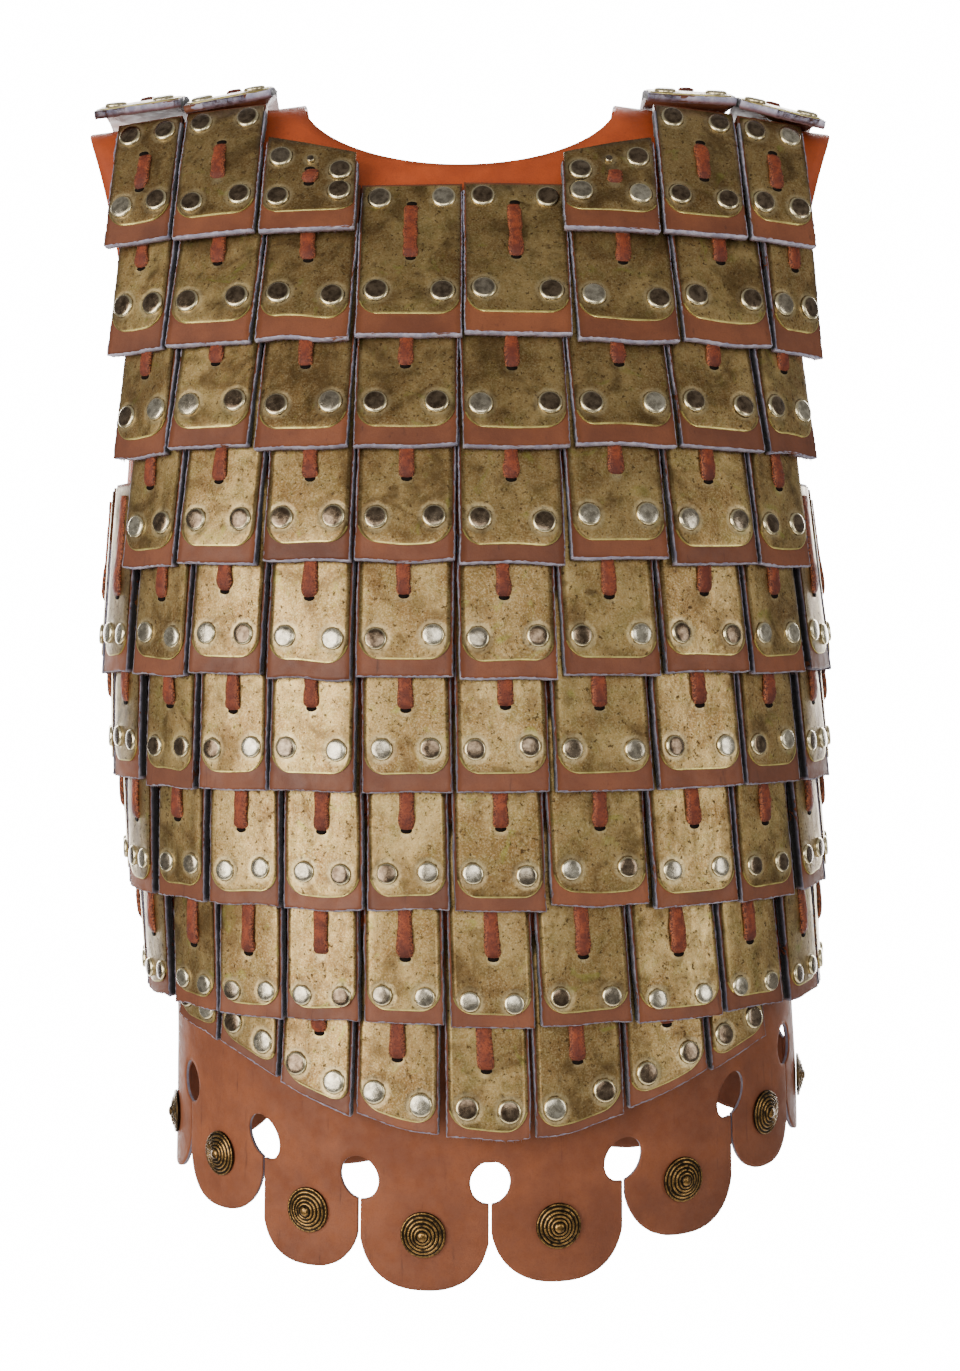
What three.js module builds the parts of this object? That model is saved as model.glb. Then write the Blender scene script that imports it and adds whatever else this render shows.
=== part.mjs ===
// Lamellar armour: a sleeveless leather cuirass, worn shape, faced with rows of brass-plated leather
// lamellae, with lamellae over the shoulders and a scalloped hem that carries stepped bosses.
// Millimetres, +Z up. The front faces -Y and +X is to the right of someone who looks at the front.
// The origin is under the shoulder seams, midway between them, where the shoulders carry the weight.
import * as THREE from 'three';
import { mergeVertices } from 'three/addons/utils/BufferGeometryUtils.js';

// Driving sizes
const seam = 0.3; // clearance between pieces that touch
const baseWall = 3; // leather of the body panels and of the hem
const lamellaThickness = 5.6; // thick leather with its brass plate
const lamellaLength = 115;
const layerGap = 1.3; // clearance between overlapping faceted layers
const bottomRise = 12.6; // how far a lamella's lower edge stands off the body, over the next row
const ringOffset = 10; // widths are measured round the body at this distance outside the base
const columnGap = 2.5;
const rowJoin = 30; // height of the hidden band that joins the lamellae of a row
const straightBelow = -260; // rows that start below this level are straight from band to edge
const shoulderSlope = 0.13; // fall of the shoulder seam towards its outer end
const shoulderStart = 95; // distance from the centre at which that fall starts
const shoulderFade = 110; // depth below the seam at which it has faded out
const baseHemSeam = -552; // level at which the hem is sewn to the body panels

// Outer skin of the base leather, a row for each level: half width, reach to the front and to the
// back, how far forward the widest place lies, and how far the section stands to the right.
const sections = [
  { z: 3, halfWidth: 285, front: 0, back: 0, middle: 0, centre: 0 },
  { z: 1, halfWidth: 285, front: 13, back: 13, middle: 0, centre: 0 },
  { z: -5, halfWidth: 282, front: 30, back: 29, middle: 0, centre: 0 },
  { z: -15, halfWidth: 278, front: 44, back: 41, middle: 1, centre: 0 },
  { z: -35, halfWidth: 266, front: 60, back: 53, middle: 4, centre: 0 },
  { z: -68, halfWidth: 250, front: 79, back: 62, middle: 9, centre: 0 },
  { z: -103, halfWidth: 236, front: 94, back: 68, middle: 14, centre: 0 },
  { z: -171, halfWidth: 221, front: 123, back: 75, middle: 22, centre: 0 },
  { z: -236, halfWidth: 216, front: 147, back: 79, middle: 27, centre: 1 },
  { z: -301, halfWidth: 214, front: 162, back: 80, middle: 28, centre: 2 },
  { z: -364, halfWidth: 213, front: 169, back: 78, middle: 28, centre: 4 },
  { z: -428, halfWidth: 209, front: 171, back: 75, middle: 28, centre: 7 },
  { z: -494, halfWidth: 203, front: 171, back: 73, middle: 28, centre: 11 },
  { z: -558, halfWidth: 196, front: 171, back: 72, middle: 28, centre: 15 },
  { z: -622, halfWidth: 197, front: 171.5, back: 72.5, middle: 28, centre: 17 },
  { z: -715, halfWidth: 198.5, front: 172, back: 73, middle: 28, centre: 17 },
];

// Rows of lamellae, top row first: level of the lower edges, where the row's fourth gap stands from
// the body's front centre, and the widths of its columns from left to right.
const rows = [
  { name: 'A', bottom: -171, middle: 2, columns: [46, 59, 60, 66, 67, 65, 62, 44] },
  { name: 'B', bottom: -236, middle: -1, columns: [48, 57, 59, 63, 65, 64, 60, 47] },
  { name: 'C', bottom: -301, middle: -3, columns: [48, 56, 55, 60, 63, 61, 60, 50] },
  { name: 'D', bottom: -364, middle: -5, columns: [48, 52, 53, 58, 58, 60, 60, 50] },
  { name: 'E', bottom: -428, middle: -9, columns: [45, 49, 54, 54, 55, 60, 60, 50] },
  { name: 'F', bottom: -494, middle: -14, columns: [44, 51, 50, 49, 54, 60, 58, 50] },
  { name: 'G', bottom: -558, middle: -21, columns: [42, 47, 47, 48, 50, 55, 58, 50] },
  { name: 'H', bottom: -622, middle: -26, columns: [42, 46, 47, 50, 50, 54, 54, 48] },
];
const rowATop = -68;
const joinedRows = ['D', 'E', 'F', 'G']; // rows that go on round the sides
const sidePlates = 3;
const sideGap = 6; // opening between a front row and the side lamellae

// Base panels: the neck opening, the armholes and the columns and levels of their faces
const neckHalfWidth = 104;
const neckDepthFront = 50;
const neckDepthBack = 44;
const neckCorner = 35; // depth at which the straps' inner columns turn straight down
const armhole = { tip: 251, chestLevel: -120, bottom: -262 }; // tip: half width at the shoulder
const chestReach = { front: 236, back: 202 }; // half width of each panel between the armholes
const narrowBackRows = ['A', 'B', 'C']; // rows that leave out their end columns on the back
const shoulderLevels = [2.7, 1, -5, -15];
const bodyLevels = [-68, -120, -171, -215, -245, -262, -301, -364, -428, -552];
const chestColumns = 4;
const sideColumns = 6;

// Yoke: three lamellae on each shoulder, front and back
const yoke = { bottom: -103, top: -6, bends: [-15, -24] };
const yokeInner = 64; // from the centre to the innermost lamella
const yokeWidths = [62, 56, 48];

// Shoulder lamellae, which lie over the seam: where each one begins and how wide it is
const shoulderPlates = [
  { name: 'inner', from: 119, width: 57 },
  { name: 'outer', from: 176.5, width: 56 },
];
const shoulderReach = 40;
const shoulderLift = 9;

// Hem: scallops parted by keyholes, with a boss in each one
const frontScallops = [74, 76, 67, 80, 82, 80, 66, 72]; // widths, left to right
const backScallops = 5;
const keyholeRadius = 12.3;
const slitHalf = 1;
const scallopPower = 2.4; // 2 is a round tongue, more is squarer
const scallopDrop = 60; // from the centre of a keyhole to the lowest point of a scallop
const keyholeLevel = -651; // at the front centre
const keyholeRise = 48; // how much higher the keyholes are at the sides
const keyholeRisePower = 1.6;
const hemTilt = 11; // how much higher the right side of the hem is, and the left side lower
const trimRise = 55; // how much higher the lowest row of lamellae is cut at the sides
const riseReach = 245; // distance round the body over which both rise
const bossRadius = 13;
const bossHeight = 5.4;
const bossSides = 12;
const bossGap = 0.5;
const bossAbove = 32; // from the lowest point of a scallop up to the centre of its boss

// Materials
const leatherMaterial = new THREE.MeshStandardMaterial({ color: 0xa8623f, roughness: 0.75 });
const baseMaterial = new THREE.MeshStandardMaterial({ color: 0xd0602a, roughness: 0.7 });
const brassMaterial = new THREE.MeshStandardMaterial({ color: 0xa08c60, roughness: 0.4, metalness: 0.8 });
const bossMaterial = new THREE.MeshStandardMaterial({ color: 0x4a3c24, roughness: 0.4, metalness: 0.9 });

const armour = new THREE.Group();
armour.name = 'lamellar_armour';

// --- The form of the body ---

const clamp = (value, low, high) => Math.min(high, Math.max(low, value));

function smoothed(key, z) {
  // Cubic through the section table, without corners at its rows.
  const last = sections.length - 1;
  let i = 0;
  while (i < last - 1 && z < sections[i + 1].z) i += 1;
  const slope = (k) => {
    const above = sections[Math.max(k - 1, 0)];
    const below = sections[Math.min(k + 1, last)];
    return (below[key] - above[key]) / (below.z - above.z);
  };
  const a = sections[i];
  const b = sections[i + 1];
  const span = b.z - a.z;
  const t = clamp((z - a.z) / span, 0, 1);
  const ease = t * t * (3 - 2 * t);
  const leaveA = t * (1 - t) * (1 - t) * span * slope(i);
  const reachB = t * t * (1 - t) * span * slope(i + 1);
  return a[key] * (1 - ease) + b[key] * ease + leaveA - reachB;
}

const ringSteps = 90;
const rings = new Map();

function ringAt(z) {
  // Half of a level section, from the front centre round the right side to the back centre.
  const key = z.toFixed(3);
  if (rings.has(key)) return rings.get(key);
  const width = smoothed('halfWidth', z);
  const front = smoothed('front', z);
  const back = smoothed('back', z);
  const middle = smoothed('middle', z);
  const points = [];
  for (let i = 0; i <= ringSteps; i += 1) {
    const angle = (Math.PI * i) / ringSteps;
    const reach = i * 2 <= ringSteps ? front - middle : back + middle;
    points.push(new THREE.Vector2(width * Math.sin(angle), -middle - reach * Math.cos(angle)));
  }
  const lengths = [0];
  for (let i = 1; i <= ringSteps; i += 1) {
    const turn = Math.PI / ringSteps;
    lengths.push(lengths[i - 1] + points[i].distanceTo(points[i - 1]) + ringOffset * turn);
  }
  const ring = { points, lengths, half: lengths[ringSteps], centre: smoothed('centre', z) };
  rings.set(key, ring);
  return ring;
}

function skin(around, z) {
  // Point of the outer skin at a distance round the body from the front centre, right positive.
  const ring = ringAt(z);
  const s = around > ring.half ? around - 2 * ring.half : around;
  const away = clamp(Math.abs(s), 0, ring.half);
  let i = 1;
  while (i < ringSteps && ring.lengths[i] < away) i += 1;
  const t = (away - ring.lengths[i - 1]) / (ring.lengths[i] - ring.lengths[i - 1]);
  const flat = ring.points[i - 1].clone().lerp(ring.points[i], t);
  return dropShoulder(new THREE.Vector3(ring.centre + Math.sign(s) * flat.x, flat.y, z));
}

function dropShoulder(point) {
  const outward = Math.max(0, Math.abs(point.x) - shoulderStart);
  const share = clamp((point.z + shoulderFade) / shoulderFade, 0, 1);
  point.z -= shoulderSlope * outward * share;
  return point;
}

function lifted(surface, a, b, offset) {
  // The surface's point, moved out along its normal.
  const step = 0.5;
  const across = surface(a + step, b).sub(surface(a - step, b));
  const up = surface(a, b + step).sub(surface(a, b - step));
  return surface(a, b).addScaledVector(across.cross(up).normalize(), offset);
}

function archZ(y) {
  // Height of the skin over the shoulder at depth y.
  const side = y < 0 ? 'front' : 'back';
  const away = Math.abs(y);
  let i = 1;
  while (sections[i][side] < away) i += 1;
  const t = (away - sections[i - 1][side]) / (sections[i][side] - sections[i - 1][side]);
  return sections[i - 1].z + t * (sections[i].z - sections[i - 1].z);
}

function shoulderSkin(x, y) {
  return dropShoulder(new THREE.Vector3(x, y, archZ(y)));
}

// --- Solids ---

function slab(surface, cells, low, high) {
  // Closed wall over cells that lie side by side: cells are four-cornered, anticlockwise from outside.
  const corners = [];
  const indexOf = new Map();
  const idOf = ([a, b]) => {
    const key = `${a.toFixed(4)},${b.toFixed(4)}`;
    if (!indexOf.has(key)) {
      indexOf.set(key, corners.length);
      corners.push([a, b]);
    }
    return indexOf.get(key);
  };
  const faces = [];
  const edges = new Map();
  for (const cell of cells) {
    const ids = cell.map(idOf).filter((id, i, all) => id !== all[(i + 1) % all.length]);
    if (ids.length < 3) continue;
    faces.push(ids);
    ids.forEach((from, i) => {
      const to = ids[(i + 1) % ids.length];
      edges.set(`${from}>${to}`, [from, to]);
    });
  }
  const count = corners.length;
  const outer = corners.map(([a, b]) => lifted(surface, a, b, high(a, b)));
  const inner = corners.map(([a, b]) => lifted(surface, a, b, low(a, b)));
  const index = [];
  for (const ids of faces) {
    for (let i = 1; i + 1 < ids.length; i += 1) {
      index.push(ids[0], ids[i], ids[i + 1]);
      index.push(ids[0] + count, ids[i + 1] + count, ids[i] + count);
    }
  }
  for (const [from, to] of edges.values()) {
    if (edges.has(`${to}>${from}`)) continue;
    index.push(from + count, to + count, to);
    index.push(from + count, to, from);
  }
  const geometry = new THREE.BufferGeometry();
  const all = [...outer, ...inner].flatMap((point) => point.toArray());
  geometry.setAttribute('position', new THREE.Float32BufferAttribute(all, 3));
  geometry.setIndex(index);
  return geometry;
}

function split(from, to, parts) {
  return Array.from({ length: parts + 1 }, (_, i) => from + ((to - from) * i) / parts);
}

const valueAt = (level, s) => (typeof level === 'function' ? level(s) : level);

function gridCells(lines, levels) {
  // Cells between neighbouring lines (left to right) and levels (top first); a level may depend on s.
  const cells = [];
  for (let i = 0; i + 1 < lines.length; i += 1) {
    for (let k = 0; k + 1 < levels.length; k += 1) {
      const left = lines[i];
      const right = lines[i + 1];
      cells.push([
        [left, valueAt(levels[k + 1], left)],
        [right, valueAt(levels[k + 1], right)],
        [right, valueAt(levels[k], right)],
        [left, valueAt(levels[k], left)],
      ]);
    }
  }
  return cells;
}

function add(name, geometry, material) {
  const mesh = new THREE.Mesh(geometry, material);
  mesh.name = name;
  armour.add(mesh);
  return mesh;
}

// --- Lamellae ---

const sumOf = (widths) => widths.reduce((sum, width) => sum + width, 0);

function comb(surface, teeth, span) {
  // A row of lamellae as one solid: the teeth hang from a band hidden under the row above. span has
  // the row's top and bottom, and standAt where the lower edges stand the full rise off the body.
  const join = span.top - rowJoin;
  const half = (s) => (join + valueAt(span.bottom, s)) / 2;
  const hidden = [span.top, ...(span.bends ?? []), join];
  const levels = [...hidden, ...(span.top > straightBelow ? [half] : []), span.bottom];
  const cells = [];
  teeth.forEach((tooth, i) => {
    const outer = i === 0 || i === teeth.length - 1;
    cells.push(...gridCells(split(tooth.from, tooth.to, outer ? 3 : 2), levels));
    if (i > 0) cells.push(...gridCells([teeth[i - 1].to, tooth.from], hidden));
  });
  const low = (s, z) => layerGap + (bottomRise * (span.top - z)) / (span.top - span.standAt);
  return slab(surface, cells, low, (s, z) => low(s, z) + lamellaThickness);
}

function teethOf(start, widths) {
  // Lamellae side by side from a place on the body, with a gap between neighbours.
  let edge = start;
  return widths.map((width) => {
    edge += width;
    return { from: edge - width + columnGap / 2, to: edge - columnGap / 2 };
  });
}

function leftEndOf(row) {
  return row.middle - sumOf(row.columns.slice(0, 4));
}

function sideRise(s, half) {
  // From 0 at the front and back centres to 1 at the sides.
  const away = Math.min(Math.abs(s), half - Math.abs(s));
  return (1 - Math.cos(Math.PI * clamp(away / riseReach, 0, 1))) / 2;
}

function backSkin(s, z) {
  // The skin measured from the back centre, right positive for someone who looks at the back.
  const ring = ringAt(z);
  return skin(s < 0 ? ring.half + s : s - ring.half, z);
}

function buildRow(row) {
  const top = row.name === 'A' ? rowATop : row.bottom + lamellaLength;
  const half = ringAt(row.bottom).half;
  const trimmed = row === rows.at(-1);
  const bottom = trimmed ? (s) => row.bottom + trimRise * sideRise(s, half) : row.bottom;
  const span = { top, bottom, standAt: row.bottom };
  const backColumns = narrowBackRows.includes(row.name) ? row.columns.slice(1, -1) : row.columns;
  const backReach = sumOf(backColumns) / 2;
  const front = teethOf(leftEndOf(row), row.columns);
  const back = teethOf(-backReach, backColumns);
  add(`lamellae_front_${row.name}`, comb(skin, front, span), brassMaterial);
  add(`lamellae_back_${row.name}`, comb(backSkin, back, span), brassMaterial);
  if (joinedRows.includes(row.name)) buildSides(row, span, front, backReach, half);
}

function buildSides(row, span, front, backReach, half) {
  // Side lamellae fill the ring between the front row and the back row.
  const starts = { right: front.at(-1).to + sideGap, left: -front[0].from + sideGap };
  for (const [side, start] of Object.entries(starts)) {
    const width = (half - backReach - sideGap - start) / sidePlates;
    const teeth = teethOf(start, Array(sidePlates).fill(width));
    const mirrored = teeth.map(({ from, to }) => ({ from: -to, to: -from })).reverse();
    const geometry = comb(skin, side === 'right' ? teeth : mirrored, span);
    add(`lamellae_${side}_${row.name}`, geometry, brassMaterial);
  }
}

function buildYokes() {
  // Three lamellae on each shoulder, in front and behind, over the tops of the first row.
  const span = { ...yoke, standAt: yoke.bottom };
  for (const [face, surface] of Object.entries({ front: skin, back: backSkin })) {
    for (const side of [-1, 1]) {
      const start = side < 0 ? -yokeInner - sumOf(yokeWidths) : yokeInner;
      const widths = side < 0 ? yokeWidths.toReversed() : yokeWidths;
      const name = `yoke_${face}_${side < 0 ? 'left' : 'right'}`;
      add(name, comb(surface, teethOf(start, widths), span), brassMaterial);
    }
  }
}

function buildShoulders() {
  const lines = [-1, -0.6, -0.25, 0.25, 0.6, 1].map((share) => share * shoulderReach);
  for (const side of [-1, 1]) {
    for (const plate of shoulderPlates) {
      const ends = [side * plate.from, side * (plate.from + plate.width)];
      const across = [Math.min(...ends), Math.max(...ends)];
      const cells = gridCells(across, lines.toReversed());
      const high = () => shoulderLift + lamellaThickness;
      const name = `shoulder_${side < 0 ? 'left' : 'right'}_${plate.name}`;
      add(name, slab(shoulderSkin, cells, () => shoulderLift, high), brassMaterial);
    }
  }
}

// --- Base leather ---

function armholeEdge(z, chest, limit) {
  // Distance round the body at which the armhole cuts a panel; below it, the side seam.
  if (z <= armhole.bottom) return limit;
  if (z >= armhole.chestLevel) {
    const share = (z - armhole.chestLevel) / -armhole.chestLevel;
    return chest + (armhole.tip - chest) * clamp(share, 0, 1) ** 2;
  }
  const share = (armhole.chestLevel - z) / (armhole.chestLevel - armhole.bottom);
  return chest + (limit - chest) * (1 - Math.sqrt(1 - share ** 3));
}

function neckEdge(z, depth) {
  // Half width of the neck opening; below its corner level the straps' inner columns go straight on.
  return neckHalfWidth * Math.sqrt(1 - (Math.min(Math.max(-z, 0), neckCorner) / depth) ** 2);
}

function buildBase(name, surface, neckDepth, reach) {
  const inner = (z) => neckEdge(z, neckDepth);
  const outer = (z) => armholeEdge(z, reach, ringAt(z).half / 2 - seam / 2);
  const neckTop = (s) => -neckDepth * Math.sqrt(1 - (s / neckHalfWidth) ** 2);
  const cells = [];
  const chest = split(-inner(-neckCorner), inner(-neckCorner), chestColumns);
  cells.push(...gridCells(chest, [neckTop, ...bodyLevels]));
  const levels = [...shoulderLevels, -neckCorner, ...bodyLevels];
  const shares = split(0, 1, sideColumns);
  for (const side of [-1, 1]) {
    const at = (share, z) => [side * (inner(z) + (outer(z) - inner(z)) * share), z];
    for (let i = 0; i < sideColumns; i += 1) {
      for (let k = 0; k + 1 < levels.length; k += 1) {
        const lower = [at(shares[i], levels[k + 1]), at(shares[i + 1], levels[k + 1])];
        const upper = [at(shares[i + 1], levels[k]), at(shares[i], levels[k])];
        const cell = [...lower, ...upper];
        cells.push(side > 0 ? cell : [cell[0], cell[3], cell[2], cell[1]]);
      }
    }
  }
  add(name, slab(surface, cells, () => -baseWall, () => 0), baseMaterial);
}

// --- Hem ---

function keyholeZ(around) {
  // Level of the keyhole centres.
  const half = ringAt(keyholeLevel).half;
  const s = around > half ? around - 2 * half : around;
  const tilt = hemTilt * Math.sin((Math.PI * s) / half);
  return keyholeLevel + keyholeRise * sideRise(s, half) ** keyholeRisePower + tilt;
}

function hemSkin(s, z) {
  // The skin with distances kept in proportion, so that the hem closes round at every level.
  return skin((s * ringAt(z).half) / ringAt(keyholeLevel).half, z);
}

function scallopCells(start, width) {
  // One scallop with half a keyhole at each end: the band above, and the tongue below the keyholes.
  const middle = start + width / 2;
  const arc = [30, 60, 90].map((degrees) => keyholeRadius * Math.sin((degrees * Math.PI) / 180));
  const inside = [...arc, (keyholeRadius + width / 2) / 2, width / 2];
  const across = (first) => {
    const near = [first, ...inside].map((d) => start + d);
    return [...near, ...near.slice(0, -1).reverse().map((s) => 2 * middle - s)];
  };
  const holeHalf = (s) => {
    const fromHole = width / 2 - Math.abs(s - middle);
    return Math.sqrt(Math.max(0, keyholeRadius ** 2 - fromHole ** 2));
  };
  const lowest = (s) => {
    const share = Math.min(1, Math.abs(s - middle) / (width / 2));
    const round = (1 - share ** scallopPower) ** (1 / scallopPower);
    return keyholeZ(middle) - scallopDrop + (width / 2) * (1 - round);
  };
  const band = gridCells(across(0), [baseHemSeam - seam, (s) => keyholeZ(s) + holeHalf(s)]);
  const tongue = gridCells(across(slitHalf), [(s) => keyholeZ(s) - holeHalf(s), lowest]);
  return [...band, ...tongue];
}

function buildHem(name, start, widths) {
  const cells = [];
  let edge = start;
  const middles = [];
  for (const width of widths) {
    cells.push(...scallopCells(edge, width));
    middles.push(edge + width / 2);
    edge += width;
  }
  const first = start + seam / 2;
  const last = edge - seam / 2;
  const parted = cells.map((cell) => cell.map(([s, z]) => [clamp(s, first, last), z]));
  add(name, slab(hemSkin, parted, () => -baseWall, () => 0), leatherMaterial);
  middles.forEach((s, i) => placeBoss(`boss_${name}_${i + 1}`, s));
}

function placeBoss(name, s) {
  const boss = add(name, bossGeometry(), bossMaterial);
  const level = keyholeZ(s) - scallopDrop + bossAbove;
  const seat = lifted(hemSkin, s, level, 0);
  const normal = lifted(hemSkin, s, level, 1).sub(seat);
  boss.position.copy(seat.addScaledVector(normal, bossGap));
  boss.quaternion.setFromUnitVectors(new THREE.Vector3(0, 1, 0), normal);
}

function buildHems() {
  const around = ringAt(keyholeLevel).half * 2;
  const total = sumOf(frontScallops);
  const backWidth = (around - total) / backScallops;
  const left = -sumOf(frontScallops.slice(0, 4));
  buildHem('hem_front', left, frontScallops);
  buildHem('hem_back', left + total, Array(backScallops).fill(backWidth));
}

function bossGeometry() {
  // A stepped disc with a small knob in the middle.
  const profile = [
    [0, 0],
    [bossRadius, 0],
    [bossRadius, bossHeight * 0.3],
    [bossRadius * 0.62, bossHeight * 0.62],
    [bossRadius * 0.28, bossHeight],
    [0, bossHeight],
  ].map(([radius, height]) => new THREE.Vector2(radius, height));
  const turned = new THREE.LatheGeometry(profile, bossSides);
  turned.deleteAttribute('normal');
  turned.deleteAttribute('uv');
  return mergeVertices(turned, 0.01);
}

for (const row of rows) buildRow(row);
buildYokes();
buildShoulders();
buildBase('base_front', skin, neckDepthFront, chestReach.front);
buildBase('base_back', backSkin, neckDepthBack, chestReach.back);
buildHems();

export default armour;
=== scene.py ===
"""Lamellar armour: a leather cuirass in its worn shape, faced with rows of brass-plated lamellae.

The body's form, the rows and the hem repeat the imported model's sizes, in millimetres. Every piece is
made on that form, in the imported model's frame: +Z up, the front faces -Y, +X to the viewer's right.
"""
import math

import bpy
import numpy as np
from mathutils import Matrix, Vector


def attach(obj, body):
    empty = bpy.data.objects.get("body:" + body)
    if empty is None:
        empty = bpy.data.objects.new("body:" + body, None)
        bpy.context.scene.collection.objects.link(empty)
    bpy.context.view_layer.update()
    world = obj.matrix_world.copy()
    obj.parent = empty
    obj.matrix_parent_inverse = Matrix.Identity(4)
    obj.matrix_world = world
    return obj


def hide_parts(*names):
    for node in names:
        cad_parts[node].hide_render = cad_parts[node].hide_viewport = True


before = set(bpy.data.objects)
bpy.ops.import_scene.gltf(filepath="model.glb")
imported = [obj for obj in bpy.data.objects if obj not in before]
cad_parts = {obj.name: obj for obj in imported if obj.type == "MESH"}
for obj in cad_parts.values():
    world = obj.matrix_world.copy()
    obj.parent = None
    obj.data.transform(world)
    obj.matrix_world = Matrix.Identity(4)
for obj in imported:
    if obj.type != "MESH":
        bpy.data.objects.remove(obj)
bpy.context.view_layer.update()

MM = 0.001
random = np.random.default_rng(7)

# ---------------------------------------------------------------------------------------------
# Sizes (mm)
# ---------------------------------------------------------------------------------------------

BASE_WALL = 3.0
LEATHER = 4.7  # thickness of a lamella's leather
BRASS = 0.8  # thickness of its plate
LAMELLA_LENGTH = 115.0
LAYER_GAP = 1.3
BOTTOM_RISE = 12.6
RING_OFFSET = 10.0
COLUMN_GAP = 2.5
SHOWN_GAP = 3.6  # gap between the dressed lamellae
SHOULDER_SLOPE = 0.13
SHOULDER_START = 95.0
SHOULDER_FADE = 110.0
BASE_HEM_SEAM = -552.0
SEAM = 0.3

# Outer skin of the base leather at each level: half width, reach to the front and to the back, how
# far forward the widest place lies, and how far the section stands to the right.
SECTION_COLUMNS = ("z", "half_width", "front", "back", "middle", "centre")
SECTIONS = np.array([
    (3, 285, 0, 0, 0, 0),
    (1, 285, 13, 13, 0, 0),
    (-5, 282, 30, 29, 0, 0),
    (-15, 278, 44, 41, 1, 0),
    (-35, 266, 60, 53, 4, 0),
    (-68, 250, 79, 62, 9, 0),
    (-103, 236, 94, 68, 14, 0),
    (-171, 221, 123, 75, 22, 0),
    (-236, 216, 147, 79, 27, 1),
    (-301, 214, 162, 80, 28, 2),
    (-364, 213, 169, 78, 28, 4),
    (-428, 209, 171, 75, 28, 7),
    (-494, 203, 171, 73, 28, 11),
    (-558, 196, 171, 72, 28, 15),
    (-622, 197, 171.5, 72.5, 28, 17),
    (-715, 198.5, 172, 73, 28, 17),
], dtype=float)

# Rows of lamellae: lower edge, where the fourth gap stands from the body's centre, the widths of the
# columns from left to right, and on each lamella the height of the thong's slit and of the rivets
# above the lower edge, the rivets' radius and the leather margin below the brass.
ROWS = [
    dict(name="A", silver=0.15, pale=0.9, bottom=-171, middle=2, columns=(46, 59, 60, 66, 67, 65, 62, 44),
         slit=54, rivet_up=30, rivet_radius=7.7, margin=14),
    dict(name="B", silver=0.35, pale=0.7, bottom=-236, middle=-1, columns=(48, 57, 59, 63, 65, 64, 60, 47),
         slit=51, rivet_up=27.5, rivet_radius=7.4, margin=11.5),
    dict(name="C", silver=0.5, pale=0.6, bottom=-301, middle=-3, columns=(48, 56, 55, 60, 63, 61, 60, 50),
         slit=48, rivet_up=25.5, rivet_radius=7.0, margin=10),
    dict(name="D", silver=0.5, pale=0.35, bottom=-364, middle=-5, columns=(48, 52, 53, 58, 58, 60, 60, 50),
         slit=45, rivet_up=23, rivet_radius=6.5, margin=9.5),
    dict(name="E", silver=0.55, pale=0.3, bottom=-428, middle=-9, columns=(45, 49, 54, 54, 55, 60, 60, 50),
         slit=46, rivet_up=23.5, rivet_radius=6.3, margin=10),
    dict(name="F", silver=0.55, pale=0.25, bottom=-494, middle=-14, columns=(44, 51, 50, 49, 54, 60, 58, 50),
         slit=44, rivet_up=20.5, rivet_radius=6.1, margin=7.5),
    dict(name="G", silver=0.5, pale=0.2, bottom=-558, middle=-21, columns=(42, 47, 47, 48, 50, 55, 58, 50),
         slit=37, rivet_up=14.5, rivet_radius=5.9, margin=7),
    dict(name="H", silver=0.3, pale=0.25, bottom=-622, middle=-26, columns=(42, 46, 47, 50, 50, 54, 54, 48),
         slit=36, rivet_up=15.5, rivet_radius=6.7, margin=5),
]
ROW_A_TOP = -68.0
JOINED_ROWS = "DEFG"
NARROW_BACK_ROWS = "ABC"
SIDE_PLATES = 3
SIDE_GAP = 6.0

YOKE = dict(bottom=-103.0, top=-6.0, inner=64.0, widths=(62, 56, 48))
SHOULDER_PLATES = dict(inner=(119.0, 57.0), outer=(176.5, 56.0))
SHOULDER_REACH = 40.0
SHOULDER_LIFT = 9.0
ROOF_SLOPE = 0.36
RIDGE_SOFTNESS = 12.0
# how far each shoulder lamella rolls outwards (degrees) and stands above its seat
SHOULDER_SET = {("left", "inner"): (10.5, 0.0), ("left", "outer"): (8.0, 2.5),
                ("right", "inner"): (3.0, 1.5), ("right", "outer"): (14.0, -1.0)}

NECK_HALF = 104.0
NECK_DEPTH = dict(front=50.0, back=44.0)
ARMHOLE_TIP = 251.0
ARMHOLE_CHEST_LEVEL = -120.0
ARMHOLE_BOTTOM = -262.0
CHEST_REACH = dict(front=236.0, back=202.0)

FRONT_SCALLOPS = (74, 76, 67, 80, 82, 80, 66, 72)
BACK_SCALLOPS = 5
KEYHOLE_RADIUS = 12.3
SLIT_HALF = 1.0
SCALLOP_POWER = 2.4
SCALLOP_DROP = 60.0
KEYHOLE_LEVEL = -651.0
KEYHOLE_RISE = 48.0
KEYHOLE_RISE_POWER = 1.6
HEM_TILT = 11.0
TRIM_RISE = 55.0
RISE_REACH = 245.0
BOSS_RADIUS = 13.0
BOSS_HEIGHT = 5.4
BOSS_ABOVE = 32.0
BOSS_GAP = 0.5

# ---------------------------------------------------------------------------------------------
# The form of the body
# ---------------------------------------------------------------------------------------------

RING_STEPS = 180
LEVEL_STEP = 1.0


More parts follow.
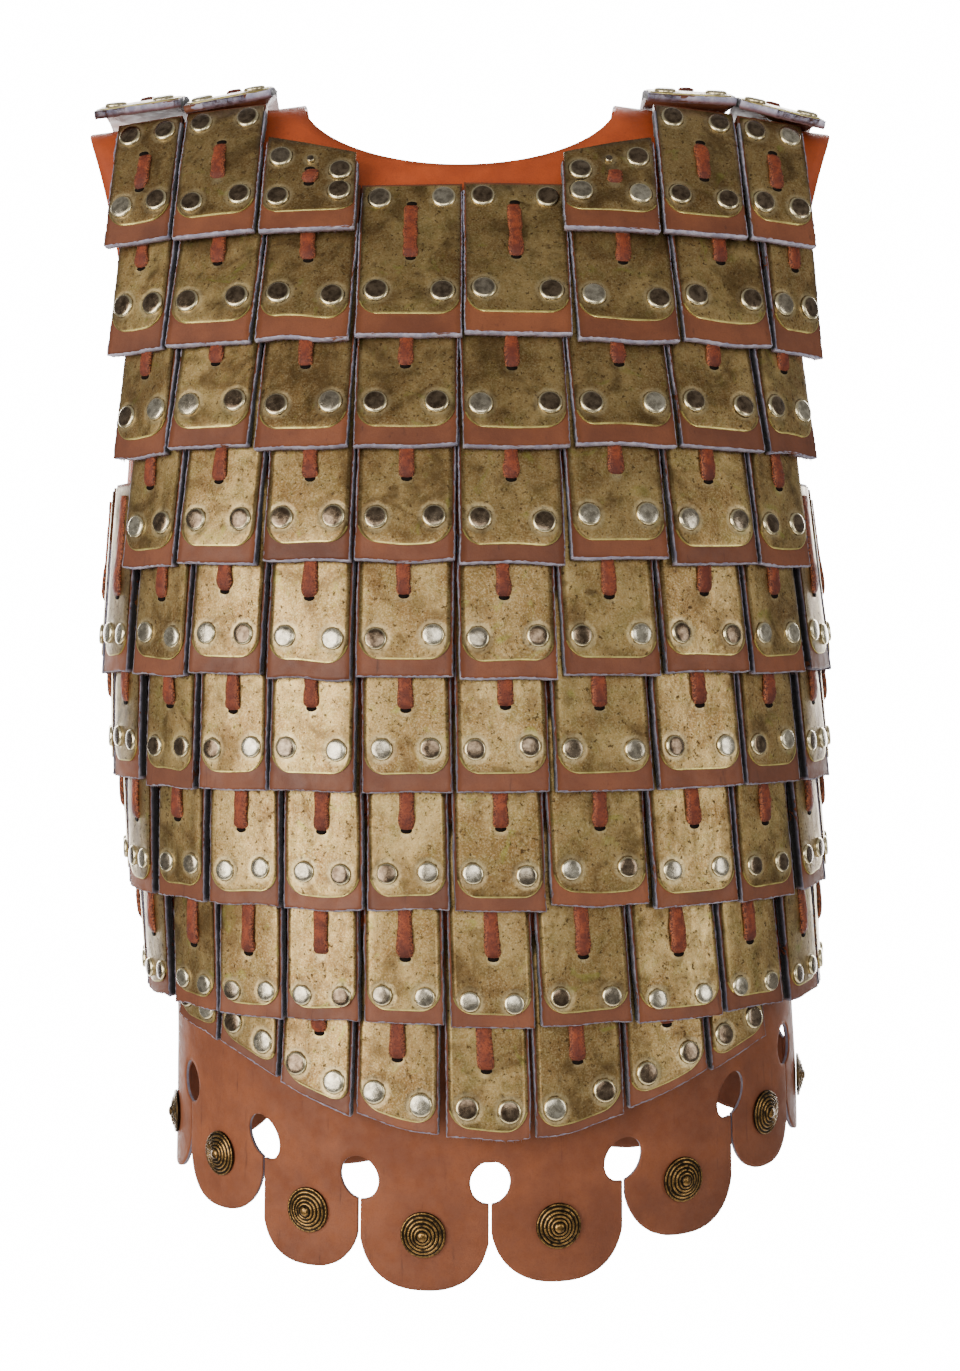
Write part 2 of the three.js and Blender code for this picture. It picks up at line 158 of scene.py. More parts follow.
def smoothed(column, z):
    """Cubic through the section table at levels z, without corners at its rows."""
    k = SECTION_COLUMNS.index(column)
    levels, values = SECTIONS[:, 0], SECTIONS[:, k]
    slopes = np.empty_like(values)
    slopes[1:-1] = (values[2:] - values[:-2]) / (levels[2:] - levels[:-2])
    slopes[0] = (values[1] - values[0]) / (levels[1] - levels[0])
    slopes[-1] = (values[-1] - values[-2]) / (levels[-1] - levels[-2])
    i = np.clip(np.searchsorted(-levels, -z, side="right") - 1, 0, len(levels) - 2)
    span = levels[i + 1] - levels[i]
    t = np.clip((z - levels[i]) / span, 0, 1)
    ease = t * t * (3 - 2 * t)
    leave = t * (1 - t) ** 2 * span * slopes[i]
    reach = t * t * (1 - t) * span * slopes[i + 1]
    return values[i] * (1 - ease) + values[i + 1] * ease + leave - reach


class Body:
    """Level sections of the base leather's outer skin, sampled evenly round each half."""

    def __init__(self):
        self.levels = np.arange(SECTIONS[0, 0], SECTIONS[-1, 0] - LEVEL_STEP, -LEVEL_STEP)
        angle = np.linspace(0, math.pi, RING_STEPS + 1)
        width = smoothed("half_width", self.levels)[:, None]
        front = smoothed("front", self.levels)[:, None]
        back = smoothed("back", self.levels)[:, None]
        middle = smoothed("middle", self.levels)[:, None]
        reach = np.where(angle <= math.pi / 2, front - middle, back + middle)
        x = width * np.sin(angle)
        y = -middle - reach * np.cos(angle)
        steps = np.hypot(np.diff(x), np.diff(y)) + RING_OFFSET * math.pi / RING_STEPS
        lengths = np.concatenate([np.zeros((len(x), 1)), np.cumsum(steps, axis=1)], axis=1)
        self.half = lengths[:, -1]
        even = np.linspace(0, 1, RING_STEPS + 1)
        self.x = np.array([np.interp(even, row / row[-1], xs) for row, xs in zip(lengths, x)])
        self.y = np.array([np.interp(even, row / row[-1], ys) for row, ys in zip(lengths, y)])
        self.centre = smoothed("centre", self.levels)

    def _row(self, z):
        place = np.clip((self.levels[0] - z) / LEVEL_STEP, 0, len(self.levels) - 1.001)
        i = place.astype(int)
        return i, place - i

    def half_at(self, z):
        i, t = self._row(np.asarray(z, dtype=float))
        return self.half[i] * (1 - t) + self.half[i + 1] * t

    def skin(self, s, z):
        """Points at distances s round the body from the front centre, right positive, at levels z."""
        s, z = np.broadcast_arrays(np.asarray(s, dtype=float), np.asarray(z, dtype=float))
        half = self.half_at(z)
        s = np.where(s > half, s - 2 * half, s)
        s = np.where(s < -half, s + 2 * half, s)
        i, t = self._row(z)
        place = np.clip(np.abs(s) / half, 0, 1) * RING_STEPS
        j = np.minimum(place.astype(int), RING_STEPS - 1)
        r = place - j

        def sample(table):
            upper = table[i, j] * (1 - r) + table[i, j + 1] * r
            lower = table[i + 1, j] * (1 - r) + table[i + 1, j + 1] * r
            return upper * (1 - t) + lower * t

        centre = self.centre[i] * (1 - t) + self.centre[i + 1] * t
        x = centre + np.sign(s) * sample(self.x)
        return drop_shoulder(np.stack([x, sample(self.y), z], axis=-1))

    def back_skin(self, s, z):
        """The same, measured from the back centre, right positive for one who looks at the back."""
        half = self.half_at(z)
        return self.skin(np.where(s < 0, half + s, s - half), z)

    def hem_skin(self, s, z):
        """Distances kept in proportion to the keyholes' level, so the hem closes round."""
        return self.skin(s * self.half_at(z) / self.half_at(KEYHOLE_LEVEL), z)


def drop_shoulder(points):
    outward = np.maximum(0, np.abs(points[..., 0]) - SHOULDER_START)
    share = np.clip((points[..., 2] + SHOULDER_FADE) / SHOULDER_FADE, 0, 1)
    points[..., 2] -= SHOULDER_SLOPE * outward * share
    return points


def shoulder_skin(x, y):
    """Points of the skin over the shoulder seam at x, y."""
    x, y = np.broadcast_arrays(np.asarray(x, dtype=float), np.asarray(y, dtype=float))
    front = np.interp(-y, SECTIONS[:8, 2], SECTIONS[:8, 0])
    back = np.interp(y, SECTIONS[:8, 3], SECTIONS[:8, 0])
    return drop_shoulder(np.stack([x, y, np.where(y < 0, front, back)], axis=-1))


def unit(vectors):
    return vectors / np.linalg.norm(vectors, axis=-1, keepdims=True)


def lifted(surface, a, b, offset, step=1.0):
    """Points of a surface moved out along its normals."""
    a, b = np.broadcast_arrays(np.asarray(a, dtype=float), np.asarray(b, dtype=float))
    across = surface(a + step, b) - surface(a - step, b)
    up = surface(a, b + step) - surface(a, b - step)
    normal = unit(np.cross(across, up))
    return surface(a, b) + normal * np.asarray(offset)[..., None]


BODY = Body()


def side_rise(s, half):
    """From 0 at the front and back centres to 1 at the sides."""
    away = np.minimum(np.abs(s), half - np.abs(s))
    return (1 - np.cos(math.pi * np.clip(away / RISE_REACH, 0, 1))) / 2


# ---------------------------------------------------------------------------------------------
# Meshes
# ---------------------------------------------------------------------------------------------

class Builder:
    """Gathers points, faces, per-face materials and per-point values into one mesh."""

    def __init__(self, values=()):
        self.points, self.faces, self.slots = [], [], []
        self.values = {name: [] for name in values}
        self.count = 0

    def add(self, points, faces, slot=0, **values):
        points = np.asarray(points, dtype=float).reshape(-1, 3)
        self.points.append(points)
        self.faces.extend([tuple(int(i) + self.count for i in face) for face in faces])
        self.slots.extend([slot] * len(faces))
        for name, store in self.values.items():
            value = np.broadcast_to(np.asarray(values.get(name, 0.0), dtype=float), (len(points),))
            store.append(value)
        self.count += len(points)

    def build(self, name, materials, slot, nodes=()):
        mesh = bpy.data.meshes.new(name)
        mesh.from_pydata((np.concatenate(self.points) * MM).tolist(), [], self.faces)
        mesh.polygons.foreach_set("material_index", self.slots)
        mesh.polygons.foreach_set("use_smooth", [True] * len(self.faces))
        for key, store in self.values.items():
            layer = mesh.attributes.new(key, "FLOAT", "POINT")
            layer.data.foreach_set("value", np.concatenate(store))
        for material in materials:
            mesh.materials.append(material)
        mesh.update()
        piece = bpy.data.objects.new(name, mesh)
        bpy.context.scene.collection.objects.link(piece)
        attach(piece, "root")
        if nodes:
            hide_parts(*nodes)
        return piece


def grid_faces(columns, rows, closed=False):
    """Quads over points laid out row by row, anticlockwise from outside when rows go downwards."""
    faces = []
    for r in range(rows - 1):
        for c in range(columns if closed else columns - 1):
            a, b = r * columns + c, r * columns + (c + 1) % columns
            faces.append((a + columns, b + columns, b, a))
    return faces


def boundary(columns, rows):
    """Indices round a grid, anticlockwise from outside, from its lower left corner."""
    bottom = [(rows - 1) * columns + c for c in range(columns)]
    right = [r * columns + columns - 1 for r in range(rows - 2, -1, -1)]
    top = list(range(columns - 2, -1, -1))
    left = [r * columns for r in range(1, rows - 1)]
    return bottom + right + top + left


def plate(builder, place, u, v, low, high, slot=0, rim=0.0, **values):
    """A closed sheet over a grid of places: face, bevelled rim and a plain back.

    u and v are arrays of the grid's places, rows going downwards. rim pulls the face's outline in.
    """
    rows, columns = u.shape
    face = place(u, v, high)
    ring = boundary(columns, rows)
    flat_u, flat_v = u.ravel()[ring], v.ravel()[ring]
    high_ring = np.broadcast_to(high, u.shape).ravel()[ring]
    middle_u, middle_v = u.mean(), v.mean()
    pull_u = np.sign(flat_u - middle_u) * rim
    pull_v = np.sign(flat_v - middle_v) * rim * 0
    shoulder = place(flat_u + pull_u, flat_v + pull_v, high_ring - rim * 0.6)
    under = place(flat_u + pull_u, flat_v + pull_v, np.full(len(ring), low))
    count, edge = rows * columns, len(ring)
    faces = grid_faces(columns, rows)
    rings = [ring, list(range(count, count + edge)), list(range(count + edge, count + 2 * edge))]
    for outer, inner in zip(rings[1:], rings[:-1]):
        for k in range(edge):
            n = (k + 1) % edge
            faces.append((outer[k], outer[n], inner[n], inner[k]))
    faces.append(tuple(reversed(rings[2])))
    full = {}
    for name, value in values.items():
        grid = np.broadcast_to(value, u.shape).ravel()
        full[name] = np.concatenate([grid, grid[ring], grid[ring]])
    builder.add(np.concatenate([face.reshape(-1, 3), shoulder, under]), faces, slot, **full)


def tube(builder, rings, slot=0, **values):
    """A closed sweep through rings of points, with its ends capped."""
    count, sides = rings.shape[:2]
    faces = []
    for r in range(count - 1):
        for c in range(sides):
            n = (c + 1) % sides
            faces.append((r * sides + c, r * sides + n, (r + 1) * sides + n, (r + 1) * sides + c))
    faces.append(tuple(reversed(range(sides))))
    faces.append(tuple(range((count - 1) * sides, count * sides)))
    full = {name: np.broadcast_to(value, (count, sides)).ravel() for name, value in values.items()}
    builder.add(rings.reshape(-1, 3), faces, slot, **full)


# ---------------------------------------------------------------------------------------------
# Materials
# ---------------------------------------------------------------------------------------------

def rgb(code):
    """Linear colour of a web colour code."""
    parts = [int(code[i:i + 2], 16) / 255 for i in (1, 3, 5)]
    return tuple(c / 12.92 if c <= 0.04045 else ((c + 0.055) / 1.055) ** 2.4 for c in parts) + (1.0,)


class Shader:
    """Short calls for building a node material on one Principled shader."""

    def __init__(self, name):
        self.material = bpy.data.materials.new(name)
        self.material.use_nodes = True
        self.nodes = self.material.node_tree.nodes
        self.links = self.material.node_tree.links
        self.surface = self.nodes["Principled BSDF"]
        self.place = self.nodes.new("ShaderNodeTexCoord").outputs["Object"]

    def link(self, value, socket):
        if isinstance(value, bpy.types.NodeSocket):
            self.links.new(value, socket)
        else:
            socket.default_value = value

    def noise(self, size, detail=3.0, rough=0.55, stretch=None, distortion=0.0):
        """Noise with features of about size mm, 0 to 1."""
        node = self.nodes.new("ShaderNodeTexNoise")
        node.inputs["Scale"].default_value = 1.0 / (size * MM)
        node.inputs["Detail"].default_value = detail
        node.inputs["Roughness"].default_value = rough
        node.inputs["Distortion"].default_value = distortion
        source = self.place
        if stretch:
            mapping = self.nodes.new("ShaderNodeMapping")
            mapping.inputs["Scale"].default_value = stretch
            self.links.new(source, mapping.inputs["Vector"])
            source = mapping.outputs["Vector"]
        self.links.new(source, node.inputs["Vector"])
        return node.outputs["Fac"]

    def value(self, name):
        node = self.nodes.new("ShaderNodeAttribute")
        node.attribute_name = name
        return node.outputs["Fac"]

    def math(self, kind, a, b=0.0, c=0.0):
        node = self.nodes.new("ShaderNodeMath")
        node.operation = kind
        for socket, entry in zip(node.inputs, (a, b, c)):
            self.link(entry, socket)
        return node.outputs[0]

    def ramp(self, value, start, end, low=0.0, high=1.0):
        node = self.nodes.new("ShaderNodeMapRange")
        node.interpolation_type = "SMOOTHSTEP"
        for key, entry in (("Value", value), ("From Min", start), ("From Max", end),
                           ("To Min", low), ("To Max", high)):
            self.link(entry, node.inputs[key])
        return node.outputs["Result"]

    def mix(self, share, a, b, kind="MIX"):
        node = self.nodes.new("ShaderNodeMix")
        node.data_type = "RGBA"
        node.blend_type = kind
        self.link(share, node.inputs["Factor"])
        self.link(a, node.inputs["A"])
        self.link(b, node.inputs["B"])
        return node.outputs["Result"]

    def bump(self, height, depth, strength=1.0, base=None):
        """Bump whose height of 1 stands depth mm."""
        node = self.nodes.new("ShaderNodeBump")
        node.inputs["Distance"].default_value = depth * MM
        node.inputs["Strength"].default_value = strength
        self.link(height, node.inputs["Height"])
        if base is not None:
            self.links.new(base, node.inputs["Normal"])
        return node.outputs["Normal"]

    def finish(self, colour, roughness, normal=None, **fixed):
        self.link(colour, self.surface.inputs["Base Color"])
        self.link(roughness, self.surface.inputs["Roughness"])
        if normal is not None:
            self.links.new(normal, self.surface.inputs["Normal"])
        for name, value in fixed.items():
            self.surface.inputs[name.replace("_", " ")].default_value = value
        return self.material


def brass_material():
    s = Shader("aged_brass")
    tone = s.value("tone")
    cloud = s.noise(34, 5, 0.62, distortion=0.5)
    blotch = s.noise(11, 6, 0.7)
    speck = s.noise(1.1, 3, 0.75)
    pits = s.noise(2.6, 3, 0.7)
    spots = s.noise(6.5, 2, 0.5)
    warm = s.mix(s.ramp(cloud, 0.32, 0.68), rgb("#785a30"), rgb("#b0935c"))
    olive = s.mix(s.ramp(blotch, 0.42, 0.68, 0.0, 0.75), warm, rgb("#7b6a38"))
    toned = s.mix(s.ramp(tone, 0.0, 1.0, 0.0, 1.0), s.mix(0.75, olive, rgb("#6b4d28")), olive)
    grain = s.mix(s.ramp(speck, 0.42, 0.72, 0.0, 0.28), toned, rgb("#e9d9a8"))
    fine = s.mix(s.ramp(speck, 0.42, 0.25, 0.0, 0.45), grain, rgb("#4d3b20"))
    dark = s.mix(s.ramp(pits, 0.58, 0.66, 0.0, 0.85), fine, rgb("#3a2a17"))
    stain = s.mix(s.ramp(spots, 0.62, 0.78, 0.0, 0.6), dark, rgb("#463320"))
    stained = s.mix(s.ramp(s.noise(23, 4, 0.6, distortion=1.5), 0.6, 0.72, 0.0, 0.5), stain, rgb("#8a8a3c"))
    # Painted highlight, not wear: a pale ring painted on the plate round each rivet and slit.
    halo = s.ramp(s.value("near"), 0.8, 3.4, 0.22, 0.0)
    wear_and_highlight = s.mix(halo, stained, rgb("#ead9ab"))
    ring = s.ramp(s.value("near"), 0.15, 0.85, 0.9, 0.0)
    ringed = s.mix(ring, wear_and_highlight, rgb("#24190f"))
    smear = s.math("MULTIPLY", s.ramp(s.noise(26, 5, 0.62, distortion=0.8), 0.46, 0.66, 0.0, 0.7), s.ramp(blotch, 0.3, 0.6, 0.5, 1.0))
    ringed = s.mix(smear, ringed, rgb("#4e381f"))
    rim = s.math("MULTIPLY", s.ramp(s.value("edge"), 0.35, 1.1, 0.9, 0.0), s.ramp(blotch, 0.35, 0.6, 0.35, 1.0))
    colour = s.mix(rim, ringed, rgb("#e2d27c"))
    streak = s.noise(7, 4, 0.7, stretch=(1.0, 1.0, 0.25))
    rough = s.math("ADD", s.ramp(streak, 0.3, 0.7, 0.30, 0.46), s.ramp(pits, 0.55, 0.7, 0.0, 0.2))
    height = s.math("ADD", s.math("MULTIPLY", s.noise(1.6, 4, 0.75), 0.10),
                    s.math("MULTIPLY", s.noise(19, 2, 0.5), 0.9))
    dish = s.ramp(s.value("near"), 0.2, 3.2, 0.0, 0.28)
    normal = s.bump(s.math("ADD", height, dish), 0.6)
    return s.finish(colour, rough, normal, Metallic=0.88)


def leather_material(name, light, dark, deep, gloss=(0.5, 0.68), scratch=0.3):
    s = Shader(name)
    tone = s.value("tone")
    cloud = s.noise(30, 5, 0.6)
    fine = s.noise(0.9, 3, 0.6)
    colour = s.mix(s.ramp(cloud, 0.3, 0.7), rgb(light), rgb(dark))
    colour = s.mix(s.math("MULTIPLY", s.math("SUBTRACT", 1.0, tone), 0.6), colour, rgb(deep))
    marks = s.noise(5, 5, 0.7, stretch=(1.0, 1.0, 0.12))
    colour = s.mix(s.ramp(marks, 0.6, 0.72, 0.0, scratch), colour, rgb(deep))
    colour = s.mix(s.ramp(fine, 0.45, 0.7, 0.0, 0.18), colour, rgb(deep))
    rough = s.ramp(s.noise(8, 4, 0.6), 0.3, 0.7, *gloss)
    height = s.math("ADD", s.math("MULTIPLY", fine, 0.5), s.noise(4, 4, 0.6))
    return s.finish(colour, rough, s.bump(height, 0.16), Specular_IOR_Level=0.4)


def edge_material():
    s = Shader("cut_edge")
    fibre = s.noise(0.7, 4, 0.75)
    clump = s.noise(4.5, 3, 0.6)
    pale = s.mix(s.ramp(clump, 0.35, 0.65), rgb("#bdb6c4"), rgb("#8f8fa6"))
    colour = s.mix(s.ramp(fibre, 0.5, 0.75, 0.0, 0.6), pale, rgb("#5a3d3a"))
    colour = s.mix(s.value("pale"), s.mix(0.7, colour, rgb("#453a40")), colour)
    colour = s.mix(s.value("under"), colour, rgb("#5a2614"))
    # Painted shadow: where deep is 1, on the side walls that face into the gaps between lamellae, the cut edge is
    # painted near black.
    colour = s.mix(s.value("deep"), colour, rgb("#0b0605"))
    return s.finish(colour, 0.95, s.bump(fibre, 0.5), Sheen_Weight=0.25, Sheen_Roughness=0.5,
                    Specular_IOR_Level=0.15)


def rivet_material():
    s = Shader("bronze_rivet")
    wear_and_highlight = s.ramp(s.noise(4, 3, 0.6), 0.3, 0.7)
    top = s.mix(wear_and_highlight, rgb("#8f8674"), rgb("#cfc6b0"))
    colour = s.mix(s.ramp(s.value("tone"), 0.3, 0.8), s.mix(wear_and_highlight, rgb("#4a3c2f"), rgb("#7d6b57")), top)
    # Painted highlight: the rings of the dome's side, where rim is 1, are painted pale for the light the rounded rim
    # catches.
    colour = s.mix(s.math("MULTIPLY", s.value("rim"), 0.85), colour, rgb("#e2d3a8"))
    rough = s.ramp(s.noise(2.5, 4, 0.7), 0.35, 0.7, 0.17, 0.32)
    return s.finish(colour, rough, s.bump(s.noise(2.0, 3, 0.6), 0.07), Metallic=1.0)


def thong_material():
    s = Shader("thong_leather")
    fibre = s.noise(1.0, 4, 0.75)
    face = s.mix(s.ramp(s.noise(5, 4, 0.6), 0.35, 0.65), rgb("#853b1a"), rgb("#5f250f"))
    face = s.mix(s.math("MULTIPLY", s.value("tip"), s.value("tone")), face, rgb("#44170f"))
    side = s.mix(s.ramp(fibre, 0.42, 0.55), rgb("#a35a34"), rgb("#260b06"))
    colour = s.mix(s.value("side"), face, side)
    colour = s.mix(s.ramp(fibre, 0.5, 0.64, 0.0, 0.75), colour, rgb("#3d130a"))
    return s.finish(colour, 0.62, s.bump(fibre, 0.45), Specular_IOR_Level=0.35)


def hole_material():
    s = Shader("slit_shadow")
    return s.finish(rgb("#120b07"), 0.9, Specular_IOR_Level=0.1)


def boss_material():
    s = Shader("antique_brass")
    rub = s.ramp(s.value("ridge"), 0.35, 1.0)
    patchy = s.math("MULTIPLY", rub, s.ramp(s.noise(3, 3, 0.6), 0.3, 0.6))
    colour = s.mix(patchy, rgb("#1f1913"), rgb("#94713f"))
    return s.finish(colour, s.ramp(rub, 0.0, 1.0, 0.5, 0.24), s.bump(s.noise(1.2, 3, 0.6), 0.08),
                    Metallic=0.95)


MAT = dict(
    brass=brass_material(),
    leather=leather_material("lamella_leather", "#7c4527", "#65351d", "#33170c", scratch=0.5),
    base=leather_material("base_leather", "#b04a19", "#973c12", "#51200b"),
    hem=leather_material("hem_leather", "#824726", "#6c381c", "#35190c", gloss=(0.62, 0.8), scratch=0.5),
    edge=edge_material(),
    rivet=rivet_material(),
    thong=thong_material(),
    hole=hole_material(),
    boss=boss_material(),
)

# ---------------------------------------------------------------------------------------------
# Lamellae
# ---------------------------------------------------------------------------------------------

FLATNESS = 0.55  # 0 follows the body's curve, 1 is a flat board


class Lamella:
    """One lamella's own space: u across from its middle, v up from its lower edge, n outwards."""

    def __init__(self, surface, middle, width, top, bottom, rise, length, turn=0.0, hang=0.0):
        self.surface, self.middle, self.width = surface, middle, width
        self.bottom, self.rise, self.length = bottom, rise, length
        self.turn, self.hang = math.radians(turn), hang
        self.top_cut = lambda u: np.zeros_like(u)
        steep = surface(middle, bottom + 31.0) - surface(middle, bottom + 30.0)
        self.per_mm = 1.0 / np.linalg.norm(steep)
        self.reach = (top - bottom) / self.per_mm
        self.pivot = min(length, self.reach) * 0.8
        self.mid_v = 32.0
        origin = self._conform(0.0, self.mid_v, 0.0)
        across = self._conform(1.0, self.mid_v, 0.0) - self._conform(-1.0, self.mid_v, 0.0)
        up = self._conform(0.0, self.mid_v + 8, 0.0) - self._conform(0.0, self.mid_v - 8, 0.0)
        self.origin, self.across = origin, unit(across)
        self.out = unit(np.cross(across, up))
        self.up = np.cross(self.out, self.across)

    def _conform(self, u, v, n):
        z = self.bottom + np.asarray(v) * self.per_mm
        return lifted(self.surface, self.middle + np.asarray(u), z, self.rise(v) + np.asarray(n))

    def at(self, u, v, n):
        u, v, n = np.broadcast_arrays(*(np.asarray(k, dtype=float) for k in (u, v, n)))
        down = v - self.pivot
        turned_u = u * math.cos(self.turn) - down * math.sin(self.turn)
        turned_v = self.pivot - self.hang + u * math.sin(self.turn) + down * math.cos(self.turn)
        curved = self._conform(turned_u, turned_v, n)
        board = (self.origin + turned_u[..., None] * self.across
                 + (turned_v - self.mid_v)[..., None] * self.up + n[..., None] * self.out)
        return curved * (1 - FLATNESS) + board * FLATNESS


def bottom_line(trim):
    """Lower edge of a lamella as a height above its nominal edge, a function of u."""
    return trim if trim is not None else (lambda u: np.zeros_like(u))


def wander(count, every, spread):
    """Slowly changing random offsets along count steps."""
    knots = np.arange(0, count + every, every)
    return np.interp(np.arange(count), knots, random.normal(0, spread, len(knots)))


def lamella_leather(builder, edges, lam, trim, visible, tone, pale, fine):
    half = lam.width / 2
    columns = np.linspace(-half, half, 15 if fine else 9)
    shares = np.array([1, 0.75, 0.55, 0.4, 0.28, 0.18, 0.1, 0.05, 0.015, 0.0])
    u = np.broadcast_to(columns, (len(shares), len(columns)))
    low = trim(u)
    high = lam.length - lam.top_cut(u)
    v = low + (high - low) * shares[:, None]
    plate(builder, lam.at, u, v, 0.4, LEATHER, 0, rim=0.0, tone=tone)
    # The pale cut edge: a rough band down one side, along the bottom and up the other side.
    step = 1.6 if fine else 3.2
    reach = min(visible + 14, lam.length - 6)
    left_reach = min(reach, lam.length - float(lam.top_cut(np.array(-half))) - 1)
    right_reach = min(reach, lam.length - float(lam.top_cut(np.array(half))) - 1)
    side_steps = max(4, int(reach / step))
    across_steps = max(4, int(lam.width / step))
    rise = np.linspace(1, 0, side_steps)
    left_low, right_low = float(trim(np.array(-half))), float(trim(np.array(half)))
    path_u = np.concatenate([np.full(side_steps, -half), np.linspace(-half, half, across_steps)[1:-1],
                             np.full(side_steps, half)])
    path_v = np.concatenate([left_low + (left_reach - left_low) * rise, trim(path_u[side_steps:-side_steps]),
                             right_low + (right_reach - right_low) * rise[::-1]])
    out_u = np.concatenate([np.full(side_steps, -1.0), np.zeros(across_steps - 2), np.full(side_steps, 1.0)])
    out_v = np.concatenate([np.zeros(side_steps), np.full(across_steps - 2, -1.0), np.zeros(side_steps)])
    out_u[side_steps - 1], out_v[side_steps - 1] = -0.7, -0.7
    out_u[-side_steps], out_v[-side_steps] = 0.7, -0.7
    depth = np.array([-1.2, -1.2, 0.15, 0.45, 0.5, 0.4, 0.1])
    height = np.array([LEATHER - 0.35, 0.0, -0.25, LEATHER * 0.25, LEATHER * 0.55, LEATHER * 0.85, LEATHER + 0.12])
    count, sides = len(path_u), len(depth)
    fuzz = random.normal(0, 0.16, (count, sides)) * (depth > 0)
    wave = wander(count, 8, 0.22)
    d = depth[None, :] + fuzz + wave[:, None] * (depth > 0)
    pu = path_u[:, None] + out_u[:, None] * d
    pv = path_v[:, None] + out_v[:, None] * d
    pn = np.broadcast_to(height, (count, sides)) + random.normal(0, 0.1, (count, sides)) * (depth > 0)
    under = np.broadcast_to(np.array([0, 1, 1, 0.75, 0.2, 0, 0.15]), (count, sides)).copy()
    # Painted shadow: the side walls face into the gaps between lamellae, and deep paints them near black there.
    flank = np.abs(out_u) > 0.9
    deep = np.zeros((count, sides))
    deep[flank] = np.array([1, 1, 1, 1, 1, 0.75, 0.2])
    rings = lam.at(pu, pv, pn)
    tube(edges, rings, 0, under=under, deep=deep, pale=pale)
    # Fibres that hang out of the lower edge.
    for _ in range(46 if fine else 14):
        u0 = random.uniform(-half + 1, half - 1)
        v0 = float(trim(np.array(u0)))
        n0 = random.uniform(-0.2, LEATHER * 0.4)
        long, lean = random.uniform(0.7, 2.0), random.normal(0, 0.6)
        wide = random.uniform(0.14, 0.3)
        tip = (u0 + lean, v0 - 0.4 - long, n0 + random.normal(-0.2, 0.3))
        roots = [(u0 - wide, v0 + 0.3, n0), (u0 + wide, v0 + 0.3, n0), (u0, v0 + 0.3, n0 + 2 * wide)]
        corner = np.array(roots + [tip])
        edges.add(lam.at(corner[:, 0], corner[:, 1], corner[:, 2]),
                  [(0, 1, 2), (0, 3, 1), (1, 3, 2), (2, 3, 0)], 0, under=0.9, deep=0.0, pale=pale)


def lamella_brass(builder, lam, trim, margin, radius, rivets, slits, tone, fine, top_margin=2.0):
    """Plate with rounded lower corners, on the leather's face."""
    half = lam.width / 2 - 1.1
    step = 2.5 if fine else 3.8
    columns = max(8, int(2 * half / step))
    across = np.linspace(-1, 1, columns)
    corner = np.array([0.0, 0.012, 0.04, 0.09, 0.17, 0.3, 0.5, 0.75, 1.0]) * radius
    height = lam.length - top_margin
    upward = np.concatenate([corner, np.arange(radius + step, 76, step), [84, 96, height - margin]])
    upward = upward[upward <= height - margin + 1e-6][::-1]
    inset = np.where(upward < radius, radius - np.sqrt(np.maximum(0, radius**2 - (radius - upward) ** 2)), 0)
    u = across[None, :] * (half - inset)[:, None]
    v = trim(u) + margin + upward[:, None] * (1 - (trim(u) + lam.top_cut(u)) / lam.length)
    near = np.full(u.shape, 30.0)
    for ru, rv, rr in rivets:
        near = np.minimum(near, np.maximum(0, np.hypot(u - ru, v - rv) - rr))
    for su, sv in slits:
        near = np.minimum(near, np.hypot((u - su) * 0.8, v - sv) * 0.75)
    outline = np.minimum(half - inset[:, None] - np.abs(u), upward[:, None])
    edge = np.where(upward[:, None] < radius, outline, np.minimum(upward[:, None], 3 + outline))
    wave = 0.0
    for _ in range(3):
        k = random.normal(0, 0.06, 2)
        wave = wave + 0.1 * np.sin(u * k[0] + v * k[1] + random.uniform(0, 6.3))
    curl = -0.35 * np.exp(-np.maximum(outline, 0) / 1.6)
    high = LEATHER + BRASS + 0.25 + wave + curl
    place = lam.at
    plate(builder, place, u, v, LEATHER - 0.5, high, 0, rim=0.0, tone=tone, near=near, edge=edge)


RIVET_PROFILE = ((1.0, -0.6), (1.0, 0.5), (0.965, 1.15), (0.89, 1.65), (0.76, 1.95), (0.5, 2.15), (0.2, 2.22))


def rivet(builder, lam, u, v, radius, tone, fine):
    sides = 24 if fine else 14
    turn = np.linspace(0, 2 * math.pi, sides, endpoint=False)
    rings, rim = [], []
    tilt = random.normal(0, 0.025, 2)
    # rim is 1 on the rings of the dome's side, which the rivet material paints with a pale highlight.
    for share, height in RIVET_PROFILE:
        du, dv = radius * share * np.cos(turn), radius * share * np.sin(turn)
        rings.append(lam.at(u + du, v + dv, LEATHER + BRASS + height + du * tilt[0] + dv * tilt[1]))
        rim.append(np.full(sides, 1.0 if 0.5 <= height <= 1.7 else 0.0))
    tip = lam.at(u, v, LEATHER + BRASS + RIVET_PROFILE[-1][1] + 0.02)
    points = np.concatenate([np.concatenate(rings), tip.reshape(1, 3)])
    faces = []
    for r in range(len(rings) - 1):
        for c in range(sides):
            n = (c + 1) % sides
            faces.append((r * sides + c, r * sides + n, (r + 1) * sides + n, (r + 1) * sides + c))
    last = (len(rings) - 1) * sides
    faces += [(last + c, last + (c + 1) % sides, len(points) - 1) for c in range(sides)]
    faces.append(tuple(reversed(range(sides))))
    builder.add(points, faces, 0, tone=tone, rim=np.concatenate(rim + [[0.0]]))


